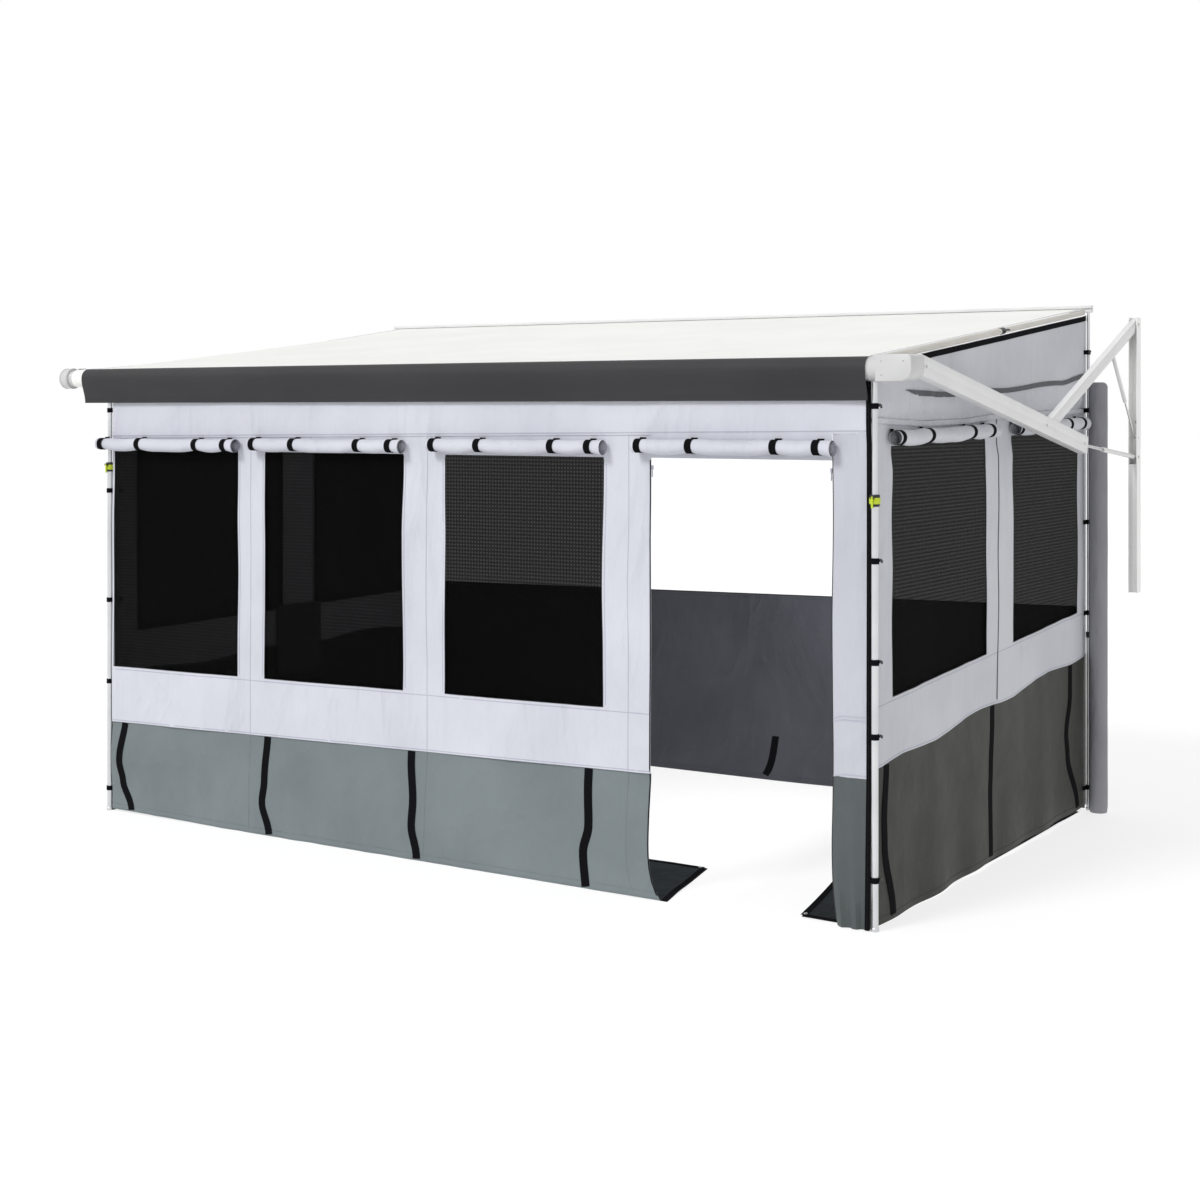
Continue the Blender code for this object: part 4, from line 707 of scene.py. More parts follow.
def frontCloth(x, z):  # the wall's outer face, drawn to the pole side by side and slack in between
    below = ease((room["windowHead"] - 0.05 - z) / 0.30)
    slack = 0.65 * swell(3.1 * x, 0.9 * z, 2) + 0.35 * swell(11 * x, 2.4 * z, 5)
    between = ease((x - room["left"]) / 0.12) * ease((room["door"] - x) / 0.03)
    sway = frontWall["edgeWave"] * (swell(1.7 * x, 2.1 * z, 9) - 0.5) * 2
    sway *= below * between * ease((z - sillAt(x)) / 0.2)
    return Vector((x + sway, room["frontY"] - frontWall["foldDepth"] * slack * below, z))


def makeFrontPanel():
    windowEdges = [edge for window in windows for edge in window]
    across = stations([room["left"], *windowEdges, room["door"]], frontWall["step"])
    levels = [bandLow, sillAt, level(room["windowHead"]), seamAt]
    grid = clothGrid(across, levels, frontCloth,
                     lambda x, band: band == 1 and any(start < x < end for start, end in windows))
    panel = newPiece("frontPanel", grid, ["whiteCloth"])
    hang(thicken(panel, frontWall["thickness"]), "root", "white_cloth", ["front_window_panel"])
    holes = sum((end - start) * (room["windowHead"] - sillAt((start + end) / 2)) for start, end in windows)
    tall = (seamAt(room["left"]) + seamAt(room["door"]) - bandLow(room["left"]) - bandLow(room["door"])) / 2
    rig.sheet(panel, flat=(panelWidth, frontWall["seamRight"] - frontWall["bandLeft"]), held="hung",
             rests_on=["front_header"], area=panelWidth * tall - holes)
    for place in frontWall["seamPlaces"]:
        sew([frontCloth(place, z) for z in stations([bandLow(place), seamAt(place)], stitchStep)], forward)
    for height, shift in ((bandLow, 0.008), (sillAt, -0.014)):
        sew([frontCloth(x, height(x) + shift) for x in panelRun], forward)


def makeHeader():
    lap, stand = frontWall["headerLap"], 0.0035        # it laps over the panel below it, and stands off it

    def place(x, z):
        low = clamp((z - seamAt(x)) / (room["headerTop"] - seamAt(x)))
        drape = 0.008 * swell(2.3 * x, 1.5 * z, 12) * low * (1 - low) * 4
        drape *= ease((room["right"] - 0.02 - x) / 0.2)
        return Vector((x, room["frontY"] - stand * (1 - low) ** 2 - drape, z))

    across = stations([room["left"], room["door"], room["post"], room["right"]], 0.045)
    levels = [level(room["windowHead"]), lambda x: seamAt(x) - lap, level(room["headerTop"] - 0.001)]
    grid = clothGrid(across, levels, place, lambda x, band: band == 0 and not room["door"] < x < room["post"])
    header = newPiece("frontHeader", grid, ["whiteCloth"])
    hang(thicken(header, frontWall["thickness"]), "walls", "white_cloth", ["front_header"])
    width, height = room["right"] - room["left"], room["headerTop"] - room["windowHead"]
    lintel = (room["post"] - room["door"]) * (seamAt(room["post"]) - lap - room["windowHead"])
    tall = room["headerTop"] - (seamAt(room["left"]) + seamAt(room["right"])) / 2 + lap
    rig.sheet(header, flat=(width, height), held="hung", rests_on=["roller_tube"], area=width * tall + lintel)
    run = stations([room["left"], room["right"]], stitchStep)
    sew([place(x, seamAt(x) - 0.004) + forward * threadLift for x in run], forward)


def skirtFace(x, z):  # stands out at its foot towards the doorway, and turns aside at its corner
    share = clamp(1 - z / bandLow(x))
    along = (x - room["left"]) / panelWidth
    out = frontWall["skirtStand"] * along * share ** 1.5
    out += 0.012 * swell(2.6 * x, 0.5, 21) * math.sin(math.pi * min(1, 1.25 * share))
    out += 0.008 * swell(9 * x, 2 * z, 23) * ease(3 * share)
    flare = frontWall["skirtFlare"] * ease((along - 0.86) / 0.14) * share ** 6
    rise = 0.009 * (1 - ease(along / 0.3)) * share
    return Vector((x + flare, room["frontY"] - out, z + rise))


def makeFrontSkirt():
    across = stations([room["left"], room["door"]], frontWall["step"])
    grid = clothGrid(across, [level(frontWall["foot"]), bandLow], skirtFace)
    skirt = newPiece("frontSkirt", grid, ["greyCloth"])
    hang(thicken(skirt, frontWall["thickness"]), "root", "grey_cloth", ["front_skirt"])
    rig.sheet(skirt, flat=(panelWidth, (frontWall["bandLeft"] + frontWall["bandDoor"]) / 2), held="hung",
             rests_on=["front_window_panel"])
    upright = [[(x, z) for z in stations([0.02, bandLow(x)], stitchStep)] for x in frontWall["seamPlaces"]]
    for run in upright + [[(x, height) for x in panelRun] for height in frontWall["hemRows"]]:
        sew([skirtFace(*spot) + forward * threadLift for spot in run], None, "threadGrey")
    shape = bmesh.new()
    for places in skirtStraps["places"]:
        run = list(zip(skirtStraps["heights"], places))[::-1]
        heights = stations([run[0][0], bandLow(places[0]) - 0.004], 0.02)
        points = [skirtFace(x, z) + forward * skirtStraps["lift"]
                  for x, z in zip(through(run, heights), heights)]
        addTape(shape, points, forward, skirtStraps["width"], skirtStraps["thickness"])
    trim("frontSkirtStraps", shape, "blackWebbing")


post = {                               # how its free edge turns and how far its cloth stands out
    "kick": 0.0045, "footKick": 0.016, "kickTall": 0.22, "wander": 0.010, "belly": 0.010, "bellyTop": 1.7,
    "pleat": 0.016, "ripple": 0.006,
}


def makeDoorPost():
    top = seamAt(room["post"]) - 0.002
    lap, width = frontWall["postSkirtTop"], room["right"] - room["post"]

    def edge(z):                       # the free edge wanders, and turns away from the doorway at its foot
        kick = post["kick"] + post["footKick"] * clamp(1 - z / post["kickTall"]) ** 2
        return mix(kick, post["wander"] * (swell(1.3, 2.2 * z, 31) - 0.5), ease(z / 0.4))

    def place(x, z):
        share = clamp((x - room["post"]) / width)
        out = post["belly"] * math.sin(math.pi * share) * (0.3 + 0.7 * swell(0.4, 2.0 * z, 33))
        out *= ease((post["bellyTop"] - z) / 0.3)
        out += post["pleat"] * math.sin(2.4 * math.pi * share) ** 2 * clamp(1 - z / lap)
        out += post["ripple"] * swell(4.5 * share, 1.2 * z, 35) * ease(share / 0.15)
        return Vector((x + (1 - share) * edge(z), room["frontY"] - out, z))

    across = stations([room["post"], room["right"]], 0.018)
    # The post panel's white cloth is a darker copy of the front wall's: painted shade
    for name, low, high, look, slot, stands, tall in (
            ("doorPost", lap, top, "postCloth", "white_cloth", ["door_post_panel"], top - lap),
            ("doorPostSkirt", frontWall["foot"], lap - 0.0006, "postGreyCloth", "grey_cloth", [], lap)):
        piece = newPiece(name, clothGrid(across, [level(low), level(high)], place), [look])
        hang(thicken(piece, frontWall["thickness"]), "root", slot, stands)
        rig.sheet(piece, flat=(width, tall), held="hung", rests_on=["front_header"])
    for height in (frontWall["postSeam"], frontWall["postSeam"] - 0.014, lap + 0.010):
        curl = [(x, height - 0.012 * ease((room["post"] + 0.05 - x) / 0.05)) for x in across]
        sew([place(*spot) + forward * threadLift for spot in curl], forward)
    # The dark tape is the corner zip, and it is wider than the zip towards the pole, where it also paints the shade in
    # the corner
    zipX = room["right"] + 0.0015  # the corner zip between this panel and the side wall, up over the header
    heights = stations([0.004, room["headerTop"] - 0.006], 0.04)
    over = {z: 0.0052 * ease((z - top + 0.03) / 0.03) for z in heights}
    points = [place(zipX, min(z, top)) + Vector((0, -0.0016 - over[z], z - min(z, top))) for z in heights]
    trimTape("cornerZipTape", points, forward, frontWall["zipWidth"], 0.0016, body="walls")
    zipRuns.append([point + forward * 0.002 for point in points])
    shape = bmesh.new()
    heights = stations([0.02, top - 0.10], 0.04)
    addTube(shape, [place(room["post"], z) + Vector((-0.001, 0, 0)) for z in heights], 0.0022)
    trim("doorPostPiping", shape, "blackPlastic")


piping = {"radius": 0.0018, "step": 0.04, "belowHead": 0.01}


def pipeWindows(name, holes, face, sill, head, body="root"):  # piping down, along and up each opening's edge
    shape = bmesh.new()
    for start, end in holes:
        foot = [face(at, sill(at)) for at in stations([start, end], piping["step"])]
        sides = [[face(at, z) for z in stations([sill(at), head(at) - piping["belowHead"]], piping["step"])]
                 for at in (start, end)]
        addTube(shape, sides[0][::-1] + foot[1:-1] + sides[1], piping["radius"], 6)
    trim(name, shape, "blackPlastic", body)


netting = {"lap": 0.030, "back": 0.0030, "sideBack": 0.0026, "thickness": 0.0006, "step": 0.08}


def makeWindowTrim():
    lap, head = netting["lap"], room["windowHead"]
    across = stations([windows[0][0] - 0.006, windows[-1][1] + lap], netting["step"])

    def place(x, z):
        return Vector((x, room["frontY"] + netting["back"] - 0.0006 * swell(3 * x, 3 * z, 41), z))

    grid = clothGrid(across, [lambda x: sillAt(x) - lap, level(head + lap)], place, rowStep=netting["step"])
    screen = newPiece("frontNet", grid, ["netMesh"])
    hang(thicken(screen, netting["thickness"]), "root", "screen_cloth", ["front_screen"])
    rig.sheet(screen, flat=(across[-1] - across[0], head + 2 * lap - sillAt(0.0)), held="stretched",
             rests_on=["front_window_panel"])
    pipeWindows("windowPiping", windows, frontCloth, sillAt, level(head))
    for start, end in windows:
        for x in (start - 0.012, end + 0.012):
            if x > room["left"] + 0.01:
                run = stations([sillAt(x) + 0.01, head - 0.03], stitchStep)
                sew([frontCloth(x, z) for z in run], forward)


makeFrontPanel()
makeHeader()
makeFrontSkirt()
makeDoorPost()
makeWindowTrim()
print("front wall done")


# Rolled covers

rolls = {
    "windowLength": 1.075, "doorLength": 1.770, "coreRadius": 0.006, "radius": 0.0325, "thickness": 0.0012,
    "turnSteps": 18, "freeEdge": 0.9, "axisStep": 0.024, "squeeze": 0.82, "squeezeReach": 0.034,
    "sag": 0.006, "bowOut": 0.016,
    "shares": (0.030, 0.300, 0.725, 0.930), "strapWidth": 0.030, "strapThickness": 0.0016,
    "firstReach": 0.040,
}


def makeRoll(name, node, start, end, length, facing, look="whiteCloth", bowStart=False):
    start, end = Vector(start), Vector(end)
    axis, up = (end - start).normalized(), Vector((0, 0, 1))
    span = (end - start).length
    turns = length / (math.pi * (rolls["radius"] + rolls["coreRadius"]))
    steps = round(turns * rolls["turnSteps"])
    seed = sum(ord(letter) for letter in name) % 17
    places = stations([0, span], rolls["axisStep"])

    def centre(at):
        near = min(abs(at / span - strap) for strap in rolls["shares"])
        bow = rolls["bowOut"] * (1 - ease(at / 0.10)) if bowStart else 0
        return start + axis * at - up * rolls["sag"] * ease(near / 0.12) + facing * bow

    def size(at):
        held = max(math.exp(-((at - span * strap) / rolls["squeezeReach"]) ** 2) for strap in rolls["shares"])
        return 1 - (1 - rolls["squeeze"]) * held + 0.07 * (swell(9 * at, seed, 51) - 0.5)

    def point(at, step):
        share = step / steps
        radius = mix(rolls["coreRadius"], rolls["radius"], share) * size(at)
        turn = 2 * math.pi * turns * (share - 1) + math.pi * rolls["freeEdge"]
        squash = 1 - 0.05 * swell(3 * at, 2 * share, seed)
        ends = 0.010 * (swell(5 * share, seed, 53) - 0.5) - 0.022 * (1 - share) ** 1.5
        ends *= abs(2 * at / span - 1) ** 8
        radial = facing * math.cos(turn) + up * math.sin(turn) * squash
        return centre(at) + radial * radius + axis * ends * (1 if at > span / 2 else -1)

    shape = bmesh.new()
    grid = [[shape.verts.new(point(at, step)) for step in range(steps + 1)] for at in places]
    fillGrid(shape, grid, lambda i, j: (places[i], length * j / steps), turned=True)
    cover = newPiece(name, shape, [look, "liningCloth"])
    hang(thicken(cover, rolls["thickness"], rimLook=1), "root", "white_cloth", [node])
    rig.sheet(cover, flat=(span, length), held="folded", rests_on=["front_header"])
    straps = bmesh.new()
    for share in rolls["shares"]:
        middle = centre(span * share)
        radius = rolls["radius"] * size(span * share) + 0.0012
        angles = [math.radians(a) for a in range(-150, 151, 12)]
        ring = [middle + (facing * math.cos(t) + up * math.sin(t)) * radius for t in angles]
        tail = ring[-1] + up * 0.020 - facing * 0.004
        addTape(straps, ring + [tail], lambda p, middle=middle: Vector(p) - middle, rolls["strapWidth"],
                rolls["strapThickness"])
    trim(name + "Straps", straps, "blackWebbing")


def makeFrontRolls():
    for number, node in enumerate(("window_roll_1", "window_roll_2", "window_roll_3", "door_roll")):
        door, first = node == "door_roll", number == 0
        low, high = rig.box(node)
        middle = (low + high) / 2
        start = (low.x - (rolls["firstReach"] if first else 0), middle.y, middle.z)
        name = "doorCover" if door else "windowCover" + str(number + 1)
        length = rolls["doorLength" if door else "windowLength"]
        makeRoll(name, node, start, (high.x, middle.y, middle.z), length, forward, bowStart=first)


def makeSideRolls():
    for side, out in outward.items():
        for letter in "ab":
            node = "side_roll_" + side + "_" + letter
            low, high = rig.box(node)
            radius, x = (high.x - low.x) / 2, (low.x + high.x) / 2
            start, end = (x, low.y, low.z + radius), (x, high.y, high.z - radius)
            # The side rolls take the side walls' darker cloth: painted shade
            makeRoll("sideCover" + (side + letter).upper(), node, start, end, rolls["windowLength"],
                     Vector((out, 0, 0)), "shadeCloth")


makeFrontRolls()
makeSideRolls()
print("rolled covers done")


# Side walls

sideWall = {
    "frontMargin": 0.196, "rearMargin": 0.156, "column": 0.320, "firstShare": 0.528, "headStep": 0.050,
    "headRise": 0.020, "foldDepth": 0.014, "edgeWave": 0.015, "thickness": 0.0012, "step": 0.034,
    "zipPlace": 1.318, "bands": {
        "r": {"low": 0.598, "lowRise": 0.068, "sill": 0.848, "sillRise": 0.056},
        "l": {"low": 0.664, "lowRise": 0.014, "sill": 0.897, "sillRise": 0.014},
    },
    "flapStrip": ((0.322, 2.048), (0.45, 2.037), (0.68, 2.033), (0.85, 2.036), (1.29, 2.054), (2.13, 2.098),
                  (2.50, 2.139)),
    "upperSeam": ((0.03, 1.935), (0.30, 1.927), (0.474, 1.921), (0.85, 1.926), (1.334, 1.946), (2.20, 1.966),
                  (2.52, 1.972)),
    "scallop": 0.012, "scallopStep": 0.85, "pleat": 0.014, "skirtFold": 0.012, "skirtFoldStep": 0.42,
    "strapWidth": 0.046, "strapHeights": (0.60, 0.40, 0.30, 0.02), "tapeLift": 0.0010,
    "straps": ((0.130, 0.115, 0.120, 0.190), (1.258, 1.240, 1.230, 1.236), (2.279, 2.225, 2.240, 2.370)),
}


def sideLayout():
    front, rear = room["frontY"] - 0.0015, room["wallY"] - 0.002
    start, end = front + sideWall["frontMargin"], rear - sideWall["rearMargin"]
    split = start + (end - start - sideWall["column"]) * sideWall["firstShare"]
    return front, rear, [(start, split), (split + sideWall["column"], end)]


sideFront, sideRear, sideWindows = sideLayout()


def sideHead(y):
    return room["windowHead"] + sideWall["headStep"] + sideWall["headRise"] * (y - room["frontY"])


def sideEdges(y):                      # 0 where a wall is held at its front and rear edges, 1 between them
    return ease((y - sideFront) / 0.10) * ease((sideRear - y) / 0.08)


def sideBands(side):
    band = sideWall["bands"][side]

    def low(y):
        scallop = sideWall["scallop"] * math.sin(2 * math.pi * (y - sideFront) / sideWall["scallopStep"])
        return band["low"] + band["lowRise"] * (y - room["frontY"]) + scallop * ease((y - sideFront) / 0.3)

    return low, lambda y: band["sill"] + band["sillRise"] * (y - room["frontY"])


def sideFace(side):
    sill = sideBands(side)[1]

    def face(y, z):
        edges = sideEdges(y)
        rolled = 1 - ease((z - sideHead(y) + 0.10) / 0.08) * (1 - ease((z - sideHead(y) - 0.10) / 0.05))
        slack = 0.6 * swell(2.8 * y, 1.1 * z, 61) + 0.4 * swell(9 * y, 2.2 * z, 63)
        out = sideWall["foldDepth"] * slack * edges * rolled
        fan = ease((z - 1.90) / 0.03) * ease((2.06 - z) / 0.06)  # pleats that fan out under the flap strip
        out += sideWall["pleat"] * fan * edges * (0.5 + 0.5 * math.sin(46 * (y + 0.35 * (z - 1.93)))) * rolled
        sway = sideWall["edgeWave"] * (swell(1.9 * y, 3.0 * z, 67) - 0.5) * 2
        sway *= edges * ease((sideHead(y) - 0.03 - z) / 0.2) * ease((z - sill(y)) / 0.2)
        return Vector((room["wallX"][side] + outward[side] * out, y + sway, z))

    return face


def sideSkirtFace(side):
    low, face, wallX = sideBands(side)[0], sideFace(side), room["wallX"][side]

    def skirt(y, z):
        share = clamp(z / low(y))
        edges = sideEdges(y)
        folds = 0.5 - 0.5 * math.cos(2 * math.pi * (y - sideFront) / sideWall["skirtFoldStep"])
        folds = sideWall["skirtFold"] * edges * folds * (1 - 0.5 * share)
        out = 0.010 * swell(2.4 * y, 0.6 * z, 71) + folds
        top = face(y, low(y)).x - wallX
        rise = 0.020 * ease((y - sideFront) / 2.4) * (1 - share)
        return Vector((wallX + mix(outward[side] * out * edges, top, share ** 3), y, z + rise))

    return skirt


def makeSideWall(side):
    low, sill = sideBands(side)
    face, skirtPlace = sideFace(side), sideSkirtFace(side)
    windowEdges = [edge for window in sideWindows for edge in window]
    pole = [room["frontY"] + at for at in (0.046, 0.062)]      # the wall's top steps up behind the front pole
    across = stations([sideFront, *pole, *windowEdges, sideRear], sideWall["step"])
    levels = [low, sill, sideHead, lambda y: room["headerTop"] if y < room["frontY"] + 0.047 else sideTop(y)]
    grid = clothGrid(across, levels, face,
                     lambda y, band: band == 1 and any(start < y < end for start, end in sideWindows))
    # The side walls take a darker copy of the white cloth: painted shade
    wall = newPiece("sideWall" + side.upper(), grid, ["shadeCloth"])
    hang(thicken(wall, sideWall["thickness"]), "walls", "white_cloth", ["side_wall_" + side])
    width = sideRear - sideFront
    tall = (sideTop(sideRear) + room["headerTop"]) / 2 - (low(sideRear) + low(sideFront)) / 2
    holes = sum((end - start) * (sideHead(start) - sill(start)) for start, end in sideWindows)
    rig.sheet(wall, flat=(width, sideTop(sideRear) - low(sideFront)), held="hung",
             rests_on=["side_rail_" + side], area=width * tall - holes)
    across = stations([sideFront, sideRear], sideWall["step"])
    grid = clothGrid(across, [level(0.002), lambda y: low(y) - 0.0004], skirtPlace)
    # The side skirt takes the darker copy of the grey cloth: painted shade
    skirt = newPiece("sideSkirt" + side.upper(), grid, ["sideGreyCloth"])
    hang(thicken(skirt, sideWall["thickness"]), "root", "grey_cloth", ["side_skirt_" + side])
    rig.sheet(skirt, flat=(width, (low(sideFront) + low(sideRear)) / 2), held="hung",
             rests_on=["side_wall_" + side])


def makeSideNet(side):  # laps behind each window's edge, and leaves the column between them bare
    sill, lap = sideBands(side)[1], netting["lap"]
    back = Vector((outward[side], 0, 0)) * netting["sideBack"]
    bare = (sideWindows[0][1] + lap, sideWindows[1][0] - lap)
    across = stations([sideWindows[0][0] - lap, *bare, sideWindows[1][1] + lap], netting["step"])
    grid = clothGrid(across, [lambda y: sill(y) - lap, lambda y: sideHead(y) + lap],
                     lambda y, z: Vector((room["wallX"][side], y, z)) - back,
                     lambda y, band: bare[0] < y < bare[1], rowStep=netting["step"])
    net = newPiece("sideNet" + side.upper(), grid, ["netMesh"])
    hang(thicken(net, netting["thickness"]), "root", "screen_cloth", ["side_screen_" + side])
    middle = (across[0] + across[-1]) / 2
    width, tall = across[-1] - across[0], sideHead(middle) - sill(middle) + 2 * lap
    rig.sheet(net, flat=(width, tall), held="stretched", rests_on=["side_wall_" + side],
             area=(width - bare[1] + bare[0]) * tall)


sideTapes = {                          # each a width and a thickness, then how they lie
    "top": (0.024, 0.0014), "zip": (0.007, 0.0012), "hem": (0.020, 0.0035), "topDrop": 0.014,
    "hemDrop": 0.006, "hemStand": 0.0055, "strip": 0.022, "stripStart": 0.07, "stripThickness": 0.0016,
}


def makeSideTapes(side):
    low, sill = sideBands(side)
    face, skirtPlace = sideFace(side), sideSkirtFace(side)
    tag, front, out = side.upper(), room["frontY"], Vector((outward[side], 0, 0))
    lift = out * sideWall["tapeLift"]
    pipeWindows("sidePiping" + tag, sideWindows, face, sill, sideHead, "walls")
    ys = stations([front + 0.07, sideRear - 0.004], 0.05)
    points = [face(y, sideTop(y) - sideTapes["topDrop"]) + lift for y in ys]
    trimTape("sideTopTape" + tag, points, out, *sideTapes["top"], body="walls")
    strip = [(front + y, z) for y, z in sideWall["flapStrip"]]
    ys = stations([strip[0][0], sideRear - 0.004], 0.03)
    points = [face(y, z) + lift * 2.4 for y, z in zip(ys, through(strip, ys))]
    trimTape("sideFlapStrip" + tag, points, out,
             lambda share: sideTapes["strip"] * ease((share + 0.012) / sideTapes["stripStart"]),
             sideTapes["stripThickness"], "stripCloth", "walls")
    zipY = front + sideWall["zipPlace"]
    heights = [z for z in stations([0.03, 1.93], 0.04) if z > low(zipY)]
    sway = {z: 0.018 * (swell(0.7, 2.4 * z, 73) - 0.5) for z in heights}
    points = [face(zipY, z) + lift + Vector((0, sway[z], 0)) for z in heights]
    trimTape("sideZipTape" + tag, points, out, *sideTapes["zip"], "stripCloth", "walls")
    zipRuns.append([p + out * 0.0016 for p in points])
    seam = [(front + y, z) for y, z in sideWall["upperSeam"]]
    ys = stations([sideFront + 0.01, sideRear - 0.01], 0.04)
    header = list(zip(ys, through(seam, ys)))
    sew([face(y, z) for y, z in header], out)
    hem = [face(y, z - sideTapes["hemDrop"]) + out * sideTapes["hemStand"] for y, z in header]
    # The hem takes the same darker cloth: painted shade
    trimTape("sideHem" + tag, hem, out, *sideTapes["hem"], "shadeCloth", "walls", "white_cloth")
    sew([face(y, low(y) + 0.008) for y in ys], out)
    sew([face(y, sill(y) - 0.014) for y in ys], out)
    sew([skirtPlace(y, 0.028) + lift for y in ys], None, "threadDark")
    straps = bmesh.new()
    for places in sideWall["straps"]:
        run = [(z, front + y) for y, z in zip(places, sideWall["strapHeights"])][::-1]
        heights = stations([run[0][0], low(front + places[0]) - 0.004], 0.02)
        points = [skirtPlace(min(y, sideRear - 0.03), z) + out * skirtStraps["lift"]
                  for y, z in zip(through(run, heights), heights)]
        addTape(straps, points, out, sideWall["strapWidth"], skirtStraps["thickness"])
    trim("sideStraps" + tag, straps, "blackWebbing")


for side in outward:
    makeSideWall(side)
    makeSideNet(side)
    makeSideTapes(side)
print("side walls done")


# Roof, valance and side rails

roofing = {
    "thickness": 0.0011, "sag": 0.022, "edgeSag": 0.024, "wrap": 200, "wraps": 16, "lift": 0.0009,
    "beadRadius": 0.0038, "seams": (0.012, 0.020), "valanceThickness": 0.0016, "valanceLift": 0.0032,
    "tuck": 0.026, "hemDrop": 0.122,
}


def roofPoint(x, along):               # along runs from 0 at the roller's crest to 1 at the rail
    y = mix(room["frontY"], room["railFront"] + 0.003, along)
    belly = math.sin(math.pi * along ** 0.8)
    leftRail, rightRail = room["wallX"]["l"], room["wallX"]["r"]
    if x < leftRail:
        sag = roofing["edgeSag"] * ease((leftRail - 0.02 - x) / 0.22)
    else:
        share = clamp((x - leftRail) / (rightRail - leftRail))
        sag = roofing["sag"] * math.sin(math.pi * share) ** 0.6 if 0 < share < 1 else 0
    ripple = 0.0015 * (swell(1.3 * x, 9 * along, 81) - 0.5) * belly
    return Vector((x, y, roofHeight(y) - sag * belly + ripple * (1 if sag else 0)))


def makeRoof():
    radius, wraps, edge = room["rollerRadius"] + roofing["lift"], roofing["wraps"], room["halfCloth"]
    leftRail, rightRail = room["wallX"]["l"], room["wallX"]["r"]
    across = stations([-edge, leftRail - 0.02, leftRail + 0.02, rightRail - 0.03, edge], 0.06)
    alongs = [k / 54 for k in range(55)]
    turns = [math.radians(90 + roofing["wrap"] * (1 - k / wraps)) for k in range(wraps)]
    shape = bmesh.new()
    columns, distances = [], []
    for x in across:
        column = [Vector((x, room["frontY"] + radius * math.cos(t), room["rollerZ"] + radius * math.sin(t)))
                  for t in turns]
        column += [roofPoint(x, along) for along in alongs]
        column[wraps].z = room["rollerZ"] + radius
        columns.append([shape.verts.new(p) for p in column])
        steps = [(b - a).length for a, b in zip(column, column[1:])]
        distances.append([sum(steps[:k]) for k in range(len(column))])
    fillGrid(shape, columns, lambda i, j: (across[i], distances[i][j]))
    roof = newPiece("roofCloth", shape, ["roofCloth"])
    hang(thicken(roof, roofing["thickness"]), "roof", "roof_cloth", ["roof_fabric"])
    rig.sheet(roof, flat=(2 * edge, distances[len(across) // 2][-1]), held="stretched",
             rests_on=["roller_tube", "awning_rail"])
    bead = bmesh.new()
    run = [(x, room["beadY"], room["railZ"]) for x in stations([-edge, edge], 0.3)]
    addTube(bead, run, roofing["beadRadius"], 12)
    trim("roofBead", bead, "roofCloth", "roof")
    for shift in roofing["seams"]:
        for x in (-edge + shift, edge - shift):
            sew([roofPoint(x, along) + Vector((0, 0, threadLift)) for along in alongs[1:-1]], body="roof")


def makeValance():
    low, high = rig.box("roller_valance")
    radius = room["rollerRadius"] + roofing["valanceLift"]
    turns = [math.radians(93 + 87 * k / 9) for k in range(10)]
    drops = stations([0.0, roofing["hemDrop"]], 0.012)

    def place(x, step):
        if step < len(turns):
            out, up = radius * math.cos(turns[step]), radius * math.sin(turns[step])
            return Vector((x, room["frontY"] + out, room["rollerZ"] + up))
        drop = drops[step - len(turns) + 1]
        share = drop / roofing["hemDrop"]
        wave = 0.0025 * (swell(1.4 * x, 2 * share, 91) - 0.5) * share
        out = -radius + roofing["tuck"] * ease(share) * (0.9 + 0.1 * swell(0.6 * x, 4, 93)) + wave
        return Vector((x, room["frontY"] + out, room["rollerZ"] - drop))

    steps = len(turns) + len(drops) - 1
    across = stations([low.x, high.x], 0.05)
    shape = bmesh.new()
    columns = [[shape.verts.new(place(x, step)) for step in range(steps)] for x in across]
    fillGrid(shape, columns, lambda i, j: (across[i], 0.013 * j), turned=True)
    valance = newPiece("valance", shape, ["valanceCloth"])
    hang(thicken(valance, roofing["valanceThickness"]), "roof", "dark_cloth", ["roller_valance"])
    length = radius * math.radians(87) + roofing["hemDrop"] + 0.004
    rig.sheet(valance, flat=(high.x - low.x, length), held="hung", rests_on=["roller_tube"])
    for step in (steps - 2, steps - 3):
        sew([place(x, step) + forward * 0.0012 for x in across], None, "threadDark", "roof")


sideRail = {"joint": 0.545, "inner": 0.90, "outer": 0.985, "collar": 1.09, "lip": 1.02, "lever": 0.0045}


def makeSideRail(side):
    low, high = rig.box("side_rail_" + side)
    radius, x, tilt = (high.x - low.x) / 2, (low.x + high.x) / 2, room["slope"]
    start = Vector((x, low.y + radius * math.sin(tilt), low.z + radius * math.cos(tilt)))
    end = Vector((x, high.y - radius * math.sin(tilt), high.z - radius * math.cos(tilt)))
    middle, along = mix(start, end, sideRail["joint"]), (end - start).normalized()
    shape = bmesh.new()                # the inner tube slides into the outer one at the joint
    addTube(shape, [mix(start, end, k / 12) for k in range(13)], radius * sideRail["inner"], 24)
    outer = [mix(start, end, sideRail["joint"] * k / 8) for k in range(9)]
    addTube(shape, outer, radius * sideRail["outer"], 24)
    rail = trim("sideRail" + side.upper(), shape, "railPaint", "roof", "side_rail")
    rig.replaces(rail, "side_rail_" + side)
    shape = bmesh.new()
    addTube(shape, [middle - along * 0.022, middle + along * 0.014], radius * sideRail["collar"], 24)
    addTube(shape, [middle - along * 0.030, middle - along * 0.022], radius * sideRail["lip"], 24)
    start = middle + Vector((outward[side], 0, 0)) * radius * 1.12
    lever = [start + along * at + Vector((0, 0, 0.004 * math.sin(at * 60)))
             for at in (-0.010, 0.004, 0.018, 0.034, 0.050)]
    addTube(shape, lever, sideRail["lever"], 8)
    trim("railClamp" + side.upper(), shape, "blackPlastic", "roof")


makeRoof()
makeValance()
for side in outward:
    makeSideRail(side)
print("roof done")


# Hard pieces: copies of the fixed ones with rounded edges and smooth rounds

